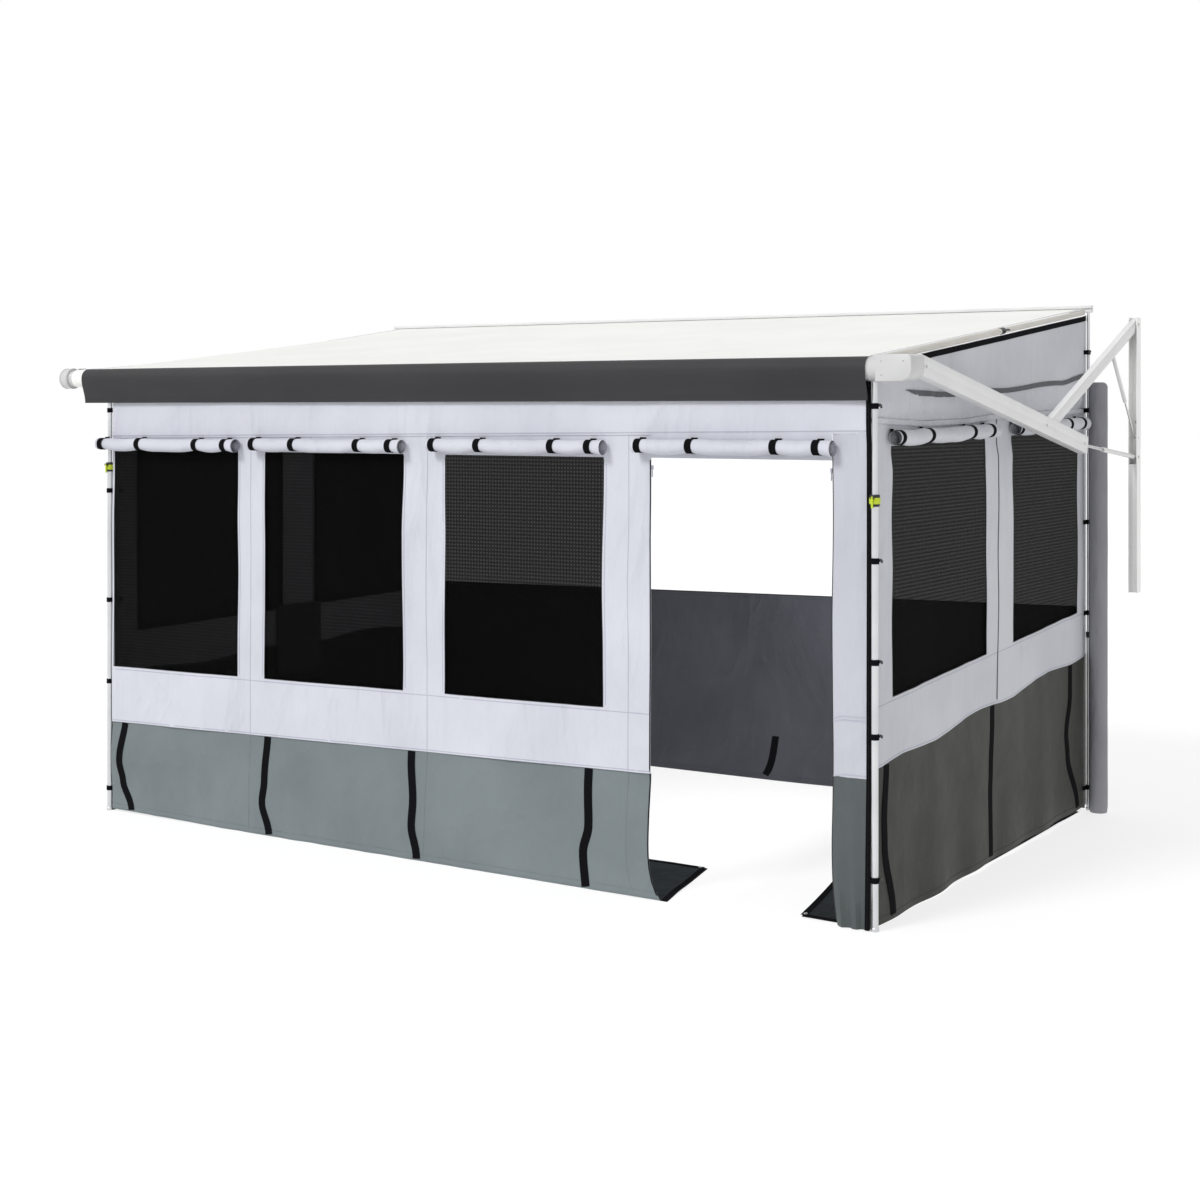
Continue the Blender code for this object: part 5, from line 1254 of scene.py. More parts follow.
def refined(name, node, look, width=0.0012, segments=2, angle=35, slot="white_metal", cutters=()):
    source = frame["nodes"][node]
    shape = bmesh.new()
    shape.from_mesh(source.data)
    bmesh.ops.remove_doubles(shape, verts=shape.verts, dist=1e-5)
    bmesh.ops.dissolve_limit(shape, angle_limit=math.radians(1), verts=shape.verts, edges=shape.edges)
    piece = newPiece(name, shape, [look])
    for cutter in cutters:
        step = piece.modifiers.new("groove", "BOOLEAN")
        step.object, step.solver, step.operation = cutter, "EXACT", "DIFFERENCE"
    if width:
        edges = piece.modifiers.new("edges", "BEVEL")
        edges.width, edges.segments, edges.use_clamp_overlap = width, segments, True
        edges.limit_method, edges.angle_limit = "ANGLE", math.radians(angle)
    settle(piece, 0.6)
    for cutter in cutters:
        bpy.data.objects.remove(cutter, do_unlink=True)
    return hang(piece, source["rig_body"], slot, [node])


def longAxis(node):                    # middle, direction and half length of a straight piece
    points = [v.co.copy() for v in frame["nodes"][node].data.vertices]
    middle = sum(points, Vector()) / len(points)
    along = max(points, key=lambda p: (p - middle).length) - middle
    for _ in range(8):
        along = sum(((p - middle) * (p - middle).dot(along) for p in points), Vector()).normalized()
    reach = [(p - middle).dot(along) for p in points]
    return middle + along * (min(reach) + max(reach)) / 2, along, (max(reach) - min(reach)) / 2


def jointPlace(name):
    return next(j["pos_m"] for j in frame["joints"] if j["name"] == name)


def addStud(body, place, direction, radius):
    studs.setdefault(body, []).append((Vector(place), Vector(direction).normalized(), radius))


arms = {
    "half": 0.022, "grooves": (-0.024, -0.031), "grooveDepth": 0.0011, "grooveTall": 0.0022,
    "grooveSpare": 0.1, "screws": (-0.972, -0.94, 0.44, 0.955), "screwRadius": 0.0065,
}
links = {"link_tube": ("whitePaint", "white_metal"), "link_rod": ("rodMetal", "bare_metal"),
         "gas_tube": ("whitePaint", "white_metal"), "gas_rod": ("rodMetal", "bare_metal")}
channel = {"screws": (0.03, 0.30, 0.62, 0.97), "screwIn": 0.003, "screwRadius": 0.007, "pivotRadius": 0.008}
strip = {"wall": 0.0032, "in": 0.0030, "thick": 0.0016, "below": 0.034, "foot": 0.002, "edge": 0.0005}


def grooveCutter(centre, axis, half, out, up):
    place = Matrix.Translation(centre) @ Matrix((
        (axis.x, out.x, up.x, 0), (axis.y, out.y, up.y, 0), (axis.z, out.z, up.z, 0), (0, 0, 0, 1)))
    size = (2 * half + arms["grooveSpare"], 2 * arms["grooveDepth"], arms["grooveTall"], 1)
    shape = bmesh.new()
    bmesh.ops.create_cube(shape, size=1, matrix=place @ Matrix.Diagonal(size))
    return newPiece("grooveCutter", shape, ["whitePaint"])


def makeArms(side):
    tag, node = side.upper(), "main_arm_" + side
    middle, axis, half = longAxis(node)
    if axis.y < 0:
        axis = -axis
    flat = Vector((outward[side], 0, 0))
    out = (flat - axis * flat.dot(axis)).normalized()
    up = out.cross(axis) if out.cross(axis).z > 0 else axis.cross(out)
    cutters = [grooveCutter(middle + up * lift + out * (face * arms["half"]), axis, half, out, up)
               for lift in arms["grooves"] for face in (1, -1)]
    refined("mainArm" + tag, node, "whitePaint", 0.0022, 2, 60, cutters=cutters)
    for face in (1, -1):
        for share in arms["screws"]:
            place = middle + axis * half * share + out * face * arms["half"]
            addStud(node, place, out * face, arms["screwRadius"])
    refined("upperArm" + tag, "upper_arm_" + side, "whitePaint", 0.0016, 2, 60)
    # The channel takes the lightened paint: painted light against the shade inside it
    refined("wallChannel" + tag, "wall_channel_" + side, "channelPaint", 0.0012, 2, 60)
    for node, (look, slot) in links.items():
        first, second = node.split("_")
        refined(first + second.title() + tag, node + "_" + side, look, 0.0006, 1, 50, slot)


def makeChannelTrim(side):
    low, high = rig.box("wall_channel_" + side)
    for share in channel["screws"]:
        place = ((low.x + high.x) / 2, high.y - channel["screwIn"], mix(low.z, high.z, share))
        addStud("root", place, forward, channel["screwRadius"])
    shape = bmesh.new()                # the strip that closes the channel's face below the links
    tall = jointPlace("link_swing_" + side)[2] - strip["below"] - low.z - strip["foot"]
    centre = ((low.x + high.x) / 2, low.y + strip["in"], low.z + strip["foot"] + tall / 2)
    addBlock(shape, centre, (high.x - low.x - 2 * strip["wall"], strip["thick"], tall))
    bmesh.ops.bevel(shape, geom=shape.edges, offset=strip["edge"], segments=1, affect="EDGES")
    # The strip takes the lightened paint: painted light against the channel's shade
    trim("channelStrip" + side.upper(), shape, "channelPaint", "root", "white_metal")
    for pivot in ("upper_arm_swing_", "link_swing_"):
        place = jointPlace(pivot + side)
        for face, edge in ((1, high.x), (-1, low.x)):
            addStud("root", (edge, place[1], place[2]), (face, 0, 0), channel["pivotRadius"])


heads = {
    "cloth": 0.004, "ring": 0.0016, "screwIn": 0.0004, "screwRadius": 0.004,
    "rings": {"r": ((0.003, 0.0462), (0.044, 0.0462)), "l": ((0.030, 0.0500), (0.072, 0.0500))},
    "screws": {"r": ((0.070, 0.026), (0.160, 0.026), (0.070, -0.026)), "l": ()},
}


def makeHeads(side):
    out, node = outward[side], "roller_head_" + side
    refined("rollerHead" + side.upper(), node, "headPaint", 0.0025, 2, 45)
    drumX = out * (room["halfCloth"] + heads["cloth"])
    shape = bmesh.new()
    for at, radius in heads["rings"][side]:
        x, y, z = drumX + out * at, room["frontY"], room["rollerZ"]
        ring = [Vector((x, y + radius * math.cos(t), z + radius * math.sin(t)))
                for t in circle(40)]
        addTube(shape, ring, heads["ring"], 6, True)
    trim("headRings" + side.upper(), shape, "headPaint", "roof", "white_metal")
    for at, rise in heads["screws"][side]:
        place = (drumX + out * at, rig.box(node)[0].y + heads["screwIn"], room["rollerZ"] + rise)
        addStud("roof", place, forward, heads["screwRadius"])


for side in outward:
    makeArms(side)
    makeChannelTrim(side)
    makeHeads(side)
refined("awningRail", "awning_rail", "whitePaint", 0.0012, 2, 60)
refined("rollerTube", "roller_tube", "whitePaint", 0.0, 2, 60)
print("arms, heads and rail done")


# Poles

poleLooks = {
    "front": {"radius": 0.0135, "inner": 0.011, "flare": 0.006, "collarTall": 0.046, "back": 1},
    "rear": {"radius": 0.0095, "inner": 0.0078, "flare": 0.002, "collarTall": 0.030, "back": -1},
}
poles = {
    "fr": {"side": "r", "row": "front", "loops": (1.984, 1.398, 1.015, 0.734, 0.193), "collar": 1.627},
    "fl": {"side": "l", "row": "front", "loops": (1.969, 1.574, 1.036, 0.636, 0.110), "collar": 1.690},
    "rr": {"side": "r", "row": "rear", "loops": (2.254, 1.969, 1.419, 0.972, 0.113), "collar": 0.864},
    "rl": {"side": "l", "row": "rear", "loops": (2.254, 1.969, 1.419, 0.972, 0.113), "collar": 0.864},
}


poleProfiles = {                       # points as (past the tube's or the collar's skin, height)
    "sleeve": ((0.0006, -0.03), (0, -0.032)),                          # from the collar's middle
    "foot": ((0, 0.016), (0.002, 0.014), (0.003, 0.011), (0.003, 0.0)),
    "band": ((0.0006, 0.011), (0.0022, 0.009), (0.0022, -0.011), (0.0006, -0.013)),
}
poleFit = {"bore": 0.0005, "collar": 0.0008}       # clearances round the inner tube and inside the collar
ears = {"apart": 0.0059, "in": 0.003, "up": 0.012, "size": (0.003, 0.014, 0.010)}


def addTurned(shape, x, y, profile, sides=28):
    rings = [[shape.verts.new((x + radius * math.cos(t), y + radius * math.sin(t), z)) for t in circle(sides)]
             for radius, z in profile]
    joinRings(shape, rings)
    return rings


def addSleeve(shape, x, y, profile):   # turned all round, with a bore
    rings = addTurned(shape, x, y, profile + profile[:1])
    bmesh.ops.remove_doubles(shape, verts=rings[0] + rings[-1], dist=1e-6)


def makePole(name, pole):
    look, tag = poleLooks[pole["row"]], name.upper()
    radius, inner, collar, half = look["radius"], look["inner"], pole["collar"], look["collarTall"] / 2
    low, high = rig.box("pole_lower_" + name)
    x, y = (low.x + high.x) / 2, high.y - radius - look["flare"]
    top, bore, edge = collar + half, inner + poleFit["bore"], radius + look["flare"]
    sleeve = [(radius + out, collar + up) for out, up in poleProfiles["sleeve"]]
    foot = [(radius + out, up) for out, up in poleProfiles["foot"]]
    shape = bmesh.new()
    addSleeve(shape, x, y, [(bore, top), (sleeve[0][0], top), *sleeve, *foot, (bore, 0.0)])
    lower = trim("poleLower" + tag, shape, "poleMetal", "root", "bare_metal", 0.6)
    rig.replaces(lower, "pole_lower_" + name)
    low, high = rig.box("pole_upper_" + name)
    shape = bmesh.new()
    rings = addTurned(shape, x, y, [(inner, high.z), (inner, low.z)])
    shape.faces.new(rings[0])
    shape.faces.new(rings[-1][::-1])
    upper = trim("poleUpper" + tag, shape, "poleMetal", "pole_top_" + name, "bare_metal", 0.6)
    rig.replaces(upper, "pole_upper_" + name)
    inside, foot = radius + poleFit["collar"], collar - half
    shape = bmesh.new()
    addSleeve(shape, x, y, [(inside, top), (edge - 0.002, top), (edge, top - 0.003),
                            (edge, foot + 0.006), (edge - 0.003, foot), (inside, foot)])
    trim("poleCollar" + tag, shape, "blackPlastic", "root")
    if pole["row"] == "front":
        makeClamp(name, x, y, edge, collar)
    return x, y


def makeClamp(name, x, y, edge, collar):  # the lime band round a front pole's collar, its ears and its lever
    tag = name.upper()
    shape = bmesh.new()
    addTurned(shape, x, y, [(edge + out, collar + up) for out, up in poleProfiles["band"]])
    trim("poleClampBand" + tag, shape, "limePlastic", "root", "lever")
    shape = bmesh.new()
    for sign in (-1, 1):
        addBlock(shape, (x + sign * ears["apart"], y - edge - ears["in"], collar + ears["up"]), ears["size"])
    trim("clampEars" + tag, shape, "blackPlastic", "root")
    refined("clampLever" + tag, "clamp_lever_" + name, "limePlastic", 0.0008, 2, 40, "lever")


loops = {                              # webbing as (width, thickness), a hook's bends as (out, along, up)
    "ring": (0.022, 0.0022), "tab": (0.021, 0.0018), "gap": 0.0010, "wallAt": 0.046, "wallLift": 0.0016,
    "end": 0.018, "hookRadius": 0.0064, "hookTaper": 0.0020,
    "hook": ((0.001, 0.002, 0.003), (0.004, 0.012, 0.004), (0.004, 0.022, 0.001), (0.001, 0.030, -0.005)),
}


def makeLoops(name, pole, x, y):
    look = poleLooks[pole["row"]]
    out, back, wallX = outward[pole["side"]], look["back"], room["wallX"][pole["side"]]
    webbing, hooks = bmesh.new(), bmesh.new()
    for z in pole["loops"]:
        radius = (look["radius"] if z < pole["collar"] else look["inner"]) + loops["gap"]
        ring = [Vector((x + radius * math.cos(t), y + radius * math.sin(t), z)) for t in circle(20)]
        middle = Vector((x, y, z))
        addTape(webbing, ring, lambda p, middle=middle: Vector(p) - middle, *loops["ring"], True)
        start = Vector((x - out * 0.004, y + back * radius, z))
        wall = Vector((wallX + out * loops["wallLift"], y + back * loops["wallAt"], z - 0.002))
        tab = [start, mix(start, wall, 0.35) + Vector((out * 0.004, 0, 0.001)),
               mix(start, wall, 0.75) + Vector((out * 0.002, 0, 0)), wall,
               wall + Vector((0, back * loops["end"], 0))]
        addTape(webbing, tab, (out, 0, 0), *loops["tab"])
        hook = [Vector((x + out * (radius + gap), y + back * along, z + up))
                for gap, along, up in loops["hook"]]
        addTube(hooks, hook, lambda share: loops["hookRadius"] - loops["hookTaper"] * share, 8)
    trim("poleLoops" + name.upper(), webbing, "blackWebbing")
    trim("poleHooks" + name.upper(), hooks, "blackPlastic")


for name, pole in poles.items():
    makeLoops(name, pole, *makePole(name, pole))
print("poles done")


# Wall pads, pocket, draught skirt, ground flaps and zip sliders

padLooks = {
    "held": (0.0, 0.113, 0.972, 1.419, 1.969), "pressure": 4.0, "frames": 20, "most": 0.004, "slack": 0.0024,
    "sides": 40, "dome": 0.026, "domeTurns": (18, 36, 54, 70, 82), "foot": 0.003, "seams": (-0.9, -0.86),
}


def puff(piece, held, heights, sides):  # cloth blown up a little from inside, held where loops go round it
    before = [v.co.copy() for v in piece.data.vertices]
    group = piece.vertex_groups.new(name="held")
    for place in held:
        ring = min(range(len(heights)), key=lambda k: abs(heights[k] - place))
        group.add(list(range(ring * sides, (ring + 1) * sides)), 1.0, "ADD")
    group.add(list(range((len(heights) - 3) * sides, len(before))), 1.0, "ADD")
    step = piece.modifiers.new("filling", "CLOTH")
    step.settings.quality = 4
    step.settings.use_pressure = True
    step.settings.uniform_pressure_force = padLooks["pressure"]
    step.settings.vertex_group_mass = "held"
    step.settings.effector_weights.gravity = 0
    for count in range(1, padLooks["frames"] + 1):
        bpy.context.scene.frame_set(count)
    made = piece.evaluated_get(bpy.context.evaluated_depsgraph_get()).data
    after = [v.co.copy() for v in made.vertices]
    piece.modifiers.clear()
    piece.vertex_groups.clear()
    for vertex, start, end in zip(piece.data.vertices, before, after):
        move = end - start
        vertex.co = start + move * min(1.0, padLooks["most"] / max(move.length, 1e-9))
    bpy.context.scene.frame_set(1)


def makePad(side):
    low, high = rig.box("wall_pad_" + side)
    x, y, top = (low.x + high.x) / 2, (low.y + high.y) / 2, high.z
    radius = (high.x - low.x) / 2 - padLooks["slack"]
    sides, dome = padLooks["sides"], padLooks["dome"]
    heights = stations([0.0, 0.03, top - dome], 0.03)
    heights += [top - dome + dome * math.sin(math.radians(turn)) for turn in padLooks["domeTurns"]]
    shape = bmesh.new()
    cut = shape.loops.layers.uv.new("cloth")

    def point(turn, z):
        cap = clamp((z - (top - dome)) / dome)
        width = mix(1.0, math.sqrt(max(0.0, 1 - cap * cap)), 0.55 if cap else 0)
        crease = 0.0016 * (swell(2.2 * math.cos(turn) + 3, 5 * z, 101) - 0.5)
        crease += 0.0007 * (swell(6 * math.sin(turn), 16 * z, 103) - 0.5)
        r = (radius - padLooks["foot"] * ease((0.02 - z) / 0.02)) * width + crease * (1 - cap)
        return x + r * math.cos(turn), y + r * math.sin(turn), z

    rings = [[shape.verts.new(point(turn, z)) for turn in circle(sides)] for z in heights]
    for i, (first, second) in enumerate(zip(rings, rings[1:])):
        for s in range(sides):
            t = (s + 1) % sides
            face = shape.faces.new((first[s], first[t], second[t], second[s]))
            for loop, (a, b) in zip(face.loops, ((i, s), (i, s + 1), (i + 1, s + 1), (i + 1, s))):
                loop[cut].uv = (2 * math.pi * radius * b / sides, heights[a])
    shape.faces.new(rings[0][::-1])
    crown = shape.verts.new((x, y, top - 0.001))
    for s in range(sides):
        shape.faces.new((rings[-1][s], rings[-1][(s + 1) % sides], crown))
    pad = newPiece("wallPad" + side.upper(), shape, ["padCloth"])
    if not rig.quick():
        puff(pad, padLooks["held"], heights, sides)
    settle(pad, 1.0)
    hang(pad, "root", "pad_cloth", ["wall_pad_" + side])
    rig.padded(pad, fill=0.85)
    for shift in padLooks["seams"]:
        turn = math.pi / 2 - -outward[side] * 2.2 + shift * 0.1
        direction = Vector((math.cos(turn), math.sin(turn), 0))
        heights = stations([0.03, top - 0.04], 0.06)
        sew([Vector((x, y, z)) + direction * (radius + 0.0006) for z in heights], None, "threadGrey")


def makeDraughtSkirt():
    low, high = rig.box("draught_skirt")
    draught = {
        "foot": 0.004, "topLeft": 0.936, "reach": 0.190, "plainEnd": 0.45, "fade": 0.35, "thickness": 0.0012,
        "folds": 5, "foldDepth": 0.010, "strapTop": 0.225, "strapFoot": 0.026, "strapLean": 0.026,
        "straps": (-1.31, -0.41, 0.500, 1.40), "hemRows": (0.016, 0.030), "topRow": 0.02, "bead": 0.003,
    }
    back, middle, width = high.y - 0.002, (low.x + high.x) / 2, high.x - low.x
    topAt = line(draught["topLeft"], high.z, low.x, high.x)

    def reach(x):  # its foot is laid in towards the room, but not where the side flaps swing
        inside = min(x - low.x, high.x - x) - draught["plainEnd"]
        return draught["reach"] * ease(inside / draught["fade"]) * mix(1, 0.4, ease((x - 0.5) / 1.5))

    def place(x, z):
        share = clamp(z / topAt(x))
        fold = 0.5 - 0.5 * math.cos(2 * math.pi * draught["folds"] * (x - low.x) / width)
        out = draught["foldDepth"] * (0.6 * fold + swell(3.4 * x, 2 * z, 111)) * math.sin(math.pi * share)
        return Vector((x, back - out - reach(x) * (1 - share) ** 2, z))

    grid = clothGrid(stations([low.x, high.x], 0.04), [level(draught["foot"]), topAt], place)
    skirt = newPiece("draughtSkirt", grid, ["draughtCloth"])
    hang(thicken(skirt, draught["thickness"]), "root", "dark_cloth", ["draught_skirt"])
    drop = [place(middle, z) for z in stations([draught["foot"], topAt(middle)], 0.03)]
    tall = sum((b - a).length for a, b in zip(drop, drop[1:]))
    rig.sheet(skirt, flat=(width, tall), held="hung", rests_on=["awning_rail"])
    shape = bmesh.new()
    for start in draught["straps"]:
        points = []
        for share in stations([0, 1], 0.1):
            z = mix(draught["strapTop"], draught["strapFoot"], share)
            points.append(place(start - draught["strapLean"] * share ** 4, z) + forward * skirtStraps["lift"])
        addTape(shape, points, forward, skirtStraps["width"], skirtStraps["thickness"])
    trim("draughtStraps", shape, "blackWebbing")
    beads = bmesh.new()
    run = [place(x, topAt(x) - draught["bead"]) for x in stations([low.x, high.x], 0.2)]
    addTube(beads, run, draught["bead"], 8)
    trim("draughtBead", beads, "blackPlastic")
    for height in (*map(level, draught["hemRows"]), lambda x: topAt(x) - draught["topRow"]):
        run = stations([low.x, high.x], stitchStep)
        sew([place(x, height(x)) + forward * threadLift for x in run], None, "threadDark")


def outlineOf(node):                   # the corners of a flat piece seen from above, in order
    spots = sorted({(round(v.co.x, 5), round(v.co.y, 5)) for v in frame["nodes"][node].data.vertices})

    def bendsIn(a, b, c):
        return (b[0] - a[0]) * (c[1] - a[1]) <= (b[1] - a[1]) * (c[0] - a[0])

    def half(run):
        kept = []
        for spot in run:
            while len(kept) > 1 and bendsIn(kept[-2], kept[-1], spot):
                kept.pop()
            kept.append(spot)
        return kept[:-1]

    return [Vector((*spot, 0)) for spot in half(spots) + half(spots[::-1])]


flaps = {
    "lift": 0.0016, "borderLift": 0.0030, "eyeletLift": 0.0048, "ripple": 0.0045, "step": 0.06,
    "thickness": 0.0014, "border": (0.026, 0.0010), "borderIn": 0.018, "borderStep": 0.08,
    "eyeletIn": 0.034, "eyelet": 0.0075, "eyeletRim": 0.0022,
}


def flapRipple(spot):
    return flaps["ripple"] * swell(4 * spot.x, 4 * spot.y, 121) ** 2


def makeFlap(tag, node, sewn):         # sewn tells which edge is sewn under a wall, and bears no border
    corners, body = outlineOf(node), frame["nodes"][node]["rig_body"]
    if tag == "Front":  # its left end is tucked back under the hem, its right corner pulled out
        for corner in corners:
            if corner.x < 0:
                corner.y = max(corner.y, room["frontY"] + 0.014)
            elif corner.y > -1:
                corner.x, corner.y = 1.168, -0.735
            else:
                corner.x, corner.y = 1.297, -1.290
    middle = sum(corners, Vector()) / len(corners)
    shape = bmesh.new()
    edge = shape.faces.new([shape.verts.new(c) for c in corners])
    bmesh.ops.triangulate(shape, faces=[edge])
    for _ in range(5):
        long = [e for e in shape.edges if e.calc_length() > flaps["step"]]
        bmesh.ops.subdivide_edges(shape, edges=long, cuts=1)
        bmesh.ops.triangulate(shape, faces=shape.faces)
    cut = shape.loops.layers.uv.new("cloth")
    for vertex in shape.verts:
        vertex.co.z = flaps["lift"] + flapRipple(vertex.co)
    for face in shape.faces:
        for loop in face.loops:
            loop[cut].uv = loop.vert.co.xy
    bmesh.ops.recalc_face_normals(shape, faces=shape.faces)
    flap = newPiece("groundFlap" + tag, shape, ["flapCloth"])
    hang(thicken(flap, flaps["thickness"]), body, "dark_cloth", [node])
    area = 0.5 * abs(sum(a.x * b.y - b.x * a.y for a, b in zip(corners, corners[1:] + corners[:1])))
    low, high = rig.box(node)
    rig.sheet(flap, flat=(high.x - low.x, high.y - low.y), held="laid", rests_on=["front_skirt"], area=area)
    inset = [mix(c, middle, flaps["borderIn"] / (c - middle).length) for c in corners]
    shape = bmesh.new()
    for start, end in zip(inset, inset[1:] + inset[:1]):
        if sewn((start + end) / 2):
            continue
        count = max(2, math.ceil((end - start).length / flaps["borderStep"]))
        points = [mix(start, end, k / count) for k in range(count + 1)]
        for point in points:
            point.z = flaps["borderLift"] + flapRipple(point)
        addTape(shape, points, (0, 0, 1), *flaps["border"])
    trim("flapBorder" + tag, shape, "blackWebbing", body)
    rings = bmesh.new()
    for corner in corners:
        if sewn(corner):
            continue
        spot = mix(corner, middle, flaps["eyeletIn"] / (corner - middle).length)
        height = flaps["eyeletLift"] + flapRipple(spot)
        ring = [spot + Vector((flaps["eyelet"] * math.cos(t), flaps["eyelet"] * math.sin(t), height))
                for t in circle(18)]
        addTube(rings, ring, flaps["eyeletRim"], 8, True)
    trim("flapEyelets" + tag, rings, "screwSteel", body)


pocket = {                             # two rows, as shares of its height, and how far they stand out
    "lowerTop": 0.52, "upperFoot": 0.56, "upperTop": 0.92, "upperTall": 0.36, "skin": 0.006, "lower": 0.016,
    "upper": 0.010, "cell": 0.014, "columns": 24, "rows": 26, "tapes": (0.54, 0.985), "tape": (0.016, 0.0012),
}


def makePocket():
    low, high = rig.box("organiser_pocket")
    columns, rows = pocket["columns"], pocket["rows"]

    def place(across, up, lift=0.0):   # two rows of pockets that belly out, the lower ones deeper
        cell = abs(math.sin(math.pi * 2 * across)) ** 0.6
        lower = upper = 0
        if up < pocket["lowerTop"]:
            lower = math.sin(math.pi * clamp(up / pocket["lowerTop"])) ** 0.7
        elif pocket["upperFoot"] < up < pocket["upperTop"]:
            upper = math.sin(math.pi * clamp((up - pocket["upperFoot"]) / pocket["upperTall"])) ** 0.8
        bulge = pocket["skin"] + pocket["lower"] * cell * lower + pocket["upper"] * cell * upper
        return Vector((low.x + bulge + lift, mix(low.y, high.y, across), mix(low.z, high.z, up)))

    shape = bmesh.new()
    spots = [[(i / columns, j / rows) for j in range(rows + 1)] for i in range(columns + 1)]
    grid = [[shape.verts.new(place(*spot)) for spot in column] for column in spots]
    fillGrid(shape, grid, lambda i, j: (i * pocket["cell"], j * pocket["cell"]), turned=True)
    piece = newPiece("organiserPocket", shape, ["pocketCloth"])
    hang(thicken(piece, 0.0040, -1.0), "root", "dark_cloth", ["organiser_pocket"])
    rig.padded(piece, fill=0.2)
    tapes = bmesh.new()
    for up in pocket["tapes"]:
        addTape(tapes, [place(a / 12, up, threadLift) for a in range(13)], (1, 0, 0), *pocket["tape"])
    trim("pocketBinding", tapes, "blackWebbing")


def makeSliders():
    for side in outward:
        refined("zipSlider" + side.upper(), "zip_slider_" + side, "pullPlastic", 0.0004, 1, 50, "slider")
    edge, door = room["door"] - 0.003, room["door"]
    points = [(frontCloth(edge, z) if z > bandLow(door) else skirtFace(edge, z)) + forward * 0.0012
              for z in stations([0.02, room["windowHead"] - 0.01], 0.05)]
    trimTape("doorZipTape", points, forward, 0.005, 0.0010)
    zipRuns.append([p + forward * 0.0014 for p in points])


for side in outward:
    makePad(side)
makeDraughtSkirt()
makeFlap("Front", "ground_flap_front", lambda middle: middle.y < room["frontY"] + 0.08)
makeFlap("R", "ground_flap_r", lambda middle: middle.x > room["right"] - 0.06)
makeFlap("L", "ground_flap_l", lambda middle: middle.x < room["left"] + 0.06)
makePocket()
makeSliders()
print("pads, draught skirt, flaps and pocket done")


# Stitches, zip teeth and stud heads, made by node trees

def newTree(name, inputs):
    tree = bpy.data.node_groups.new(name, "GeometryNodeTree")
    tree.interface.new_socket("Geometry", in_out="INPUT", socket_type="NodeSocketGeometry")
    for label, value in inputs.items():
        tree.interface.new_socket(label, in_out="INPUT", socket_type="NodeSocketFloat").default_value = value
    tree.interface.new_socket("Geometry", in_out="OUTPUT", socket_type="NodeSocketGeometry")
    return tree, addNode(tree, "NodeGroupInput").outputs


def copyTo(tree, points, piece, turn, size, look):       # a copy of the piece at every point, in one mesh
    copies = {"Points": points, "Instance": piece.outputs["Mesh"], "Rotation": turn.outputs["Rotation"],
              "Scale": size}
    copies = addNode(tree, "GeometryNodeInstanceOnPoints", copies).outputs["Instances"]
    whole = addNode(tree, "GeometryNodeRealizeInstances", {"Geometry": copies}).outputs["Geometry"]
    paint = addNode(tree, "GeometryNodeSetMaterial", {"Geometry": whole, "Material": finishes[look]})
    addNode(tree, "NodeGroupOutput", {"Geometry": paint.outputs["Geometry"]})
    return tree


def runTree(name, look, sizes):        # small beads laid end to end along the runs
    tree, given = newTree(name, sizes)
    curve = addNode(tree, "GeometryNodeMeshToCurve", {"Mesh": given["Geometry"]}).outputs["Curve"]
    spacing = {"Curve": curve, "Length": given["Pitch"]}
    spaced = addNode(tree, "GeometryNodeResampleCurve", spacing, mode="LENGTH").outputs["Curve"]
    bead = addNode(tree, "GeometryNodeMeshIcoSphere", {"Radius": 0.5, "Subdivisions": 1})
    tangent = addNode(tree, "GeometryNodeInputTangent").outputs["Tangent"]
    turn = addNode(tree, "FunctionNodeAlignRotationToVector", {"Vector": tangent}, axis="X")
    size = addNode(tree, "ShaderNodeCombineXYZ", {"X": given["Long"], "Y": given["Wide"], "Z": given["Tall"]})
    return copyTo(tree, spaced, bead, turn, size.outputs["Vector"], look)


def studTree(name, look, sizes):       # low domes, each aimed along its point's own direction
    tree, given = newTree(name, sizes)
    head = addNode(tree, "GeometryNodeMeshUVSphere", {"Segments": 14, "Rings": 8, "Radius": 1.0})
    flat = {"X": 1.0, "Y": 1.0, "Z": given["Flatness"]}
    flat = addNode(tree, "ShaderNodeCombineXYZ", flat).outputs["Vector"]
    read = "GeometryNodeInputNamedAttribute"
    aim = addNode(tree, read, {"Name": "aim"}, data_type="FLOAT_VECTOR").outputs["Attribute"]
    wide = addNode(tree, read, {"Name": "wide"}, data_type="FLOAT").outputs["Attribute"]
    turn = addNode(tree, "FunctionNodeAlignRotationToVector", {"Vector": aim}, axis="Z")
    size = addNode(tree, "ShaderNodeVectorMath", {0: flat, "Scale": wide}, operation="SCALE")
    points = addNode(tree, "GeometryNodeMeshToPoints", {"Mesh": given["Geometry"]}).outputs["Points"]
    return copyTo(tree, points, head, turn, size.outputs["Vector"], look)


def grow(name, data, tree, sizes, body, look):
    piece = bpy.data.objects.new(name, data)
    bpy.context.scene.collection.objects.link(piece)
    step = piece.modifiers.new("grow", "NODES")
    step.node_group = tree
    sockets = {item.name: item.identifier for item in tree.interface.items_tree if item.in_out == "INPUT"}
    for label, value in sizes.items():
        step[sockets[label]] = value
    made = bakeSteps(piece)
    if not made.materials:
        made.materials.append(finishes[look])
    return hang(piece, body)


def runMesh(name, runs):
    points, edges = [], []
    for run in runs:
        start = len(points)
        points += run
        edges += [(k, k + 1) for k in range(start, len(points) - 1)]
    data = bpy.data.meshes.new(name)
    data.from_pydata(points, edges, [])
    return data


def studMesh(name, items):
    data = bpy.data.meshes.new(name)
    data.from_pydata([place for place, _, _ in items], [], [])
    data.attributes.new("aim", "FLOAT_VECTOR", "POINT")
    data.attributes.new("wide", "FLOAT", "POINT")
    aim, wide = data.attributes["aim"], data.attributes["wide"]
    for k, (_, direction, radius) in enumerate(items):
        aim.data[k].vector = direction
        wide.data[k].value = radius
    return data


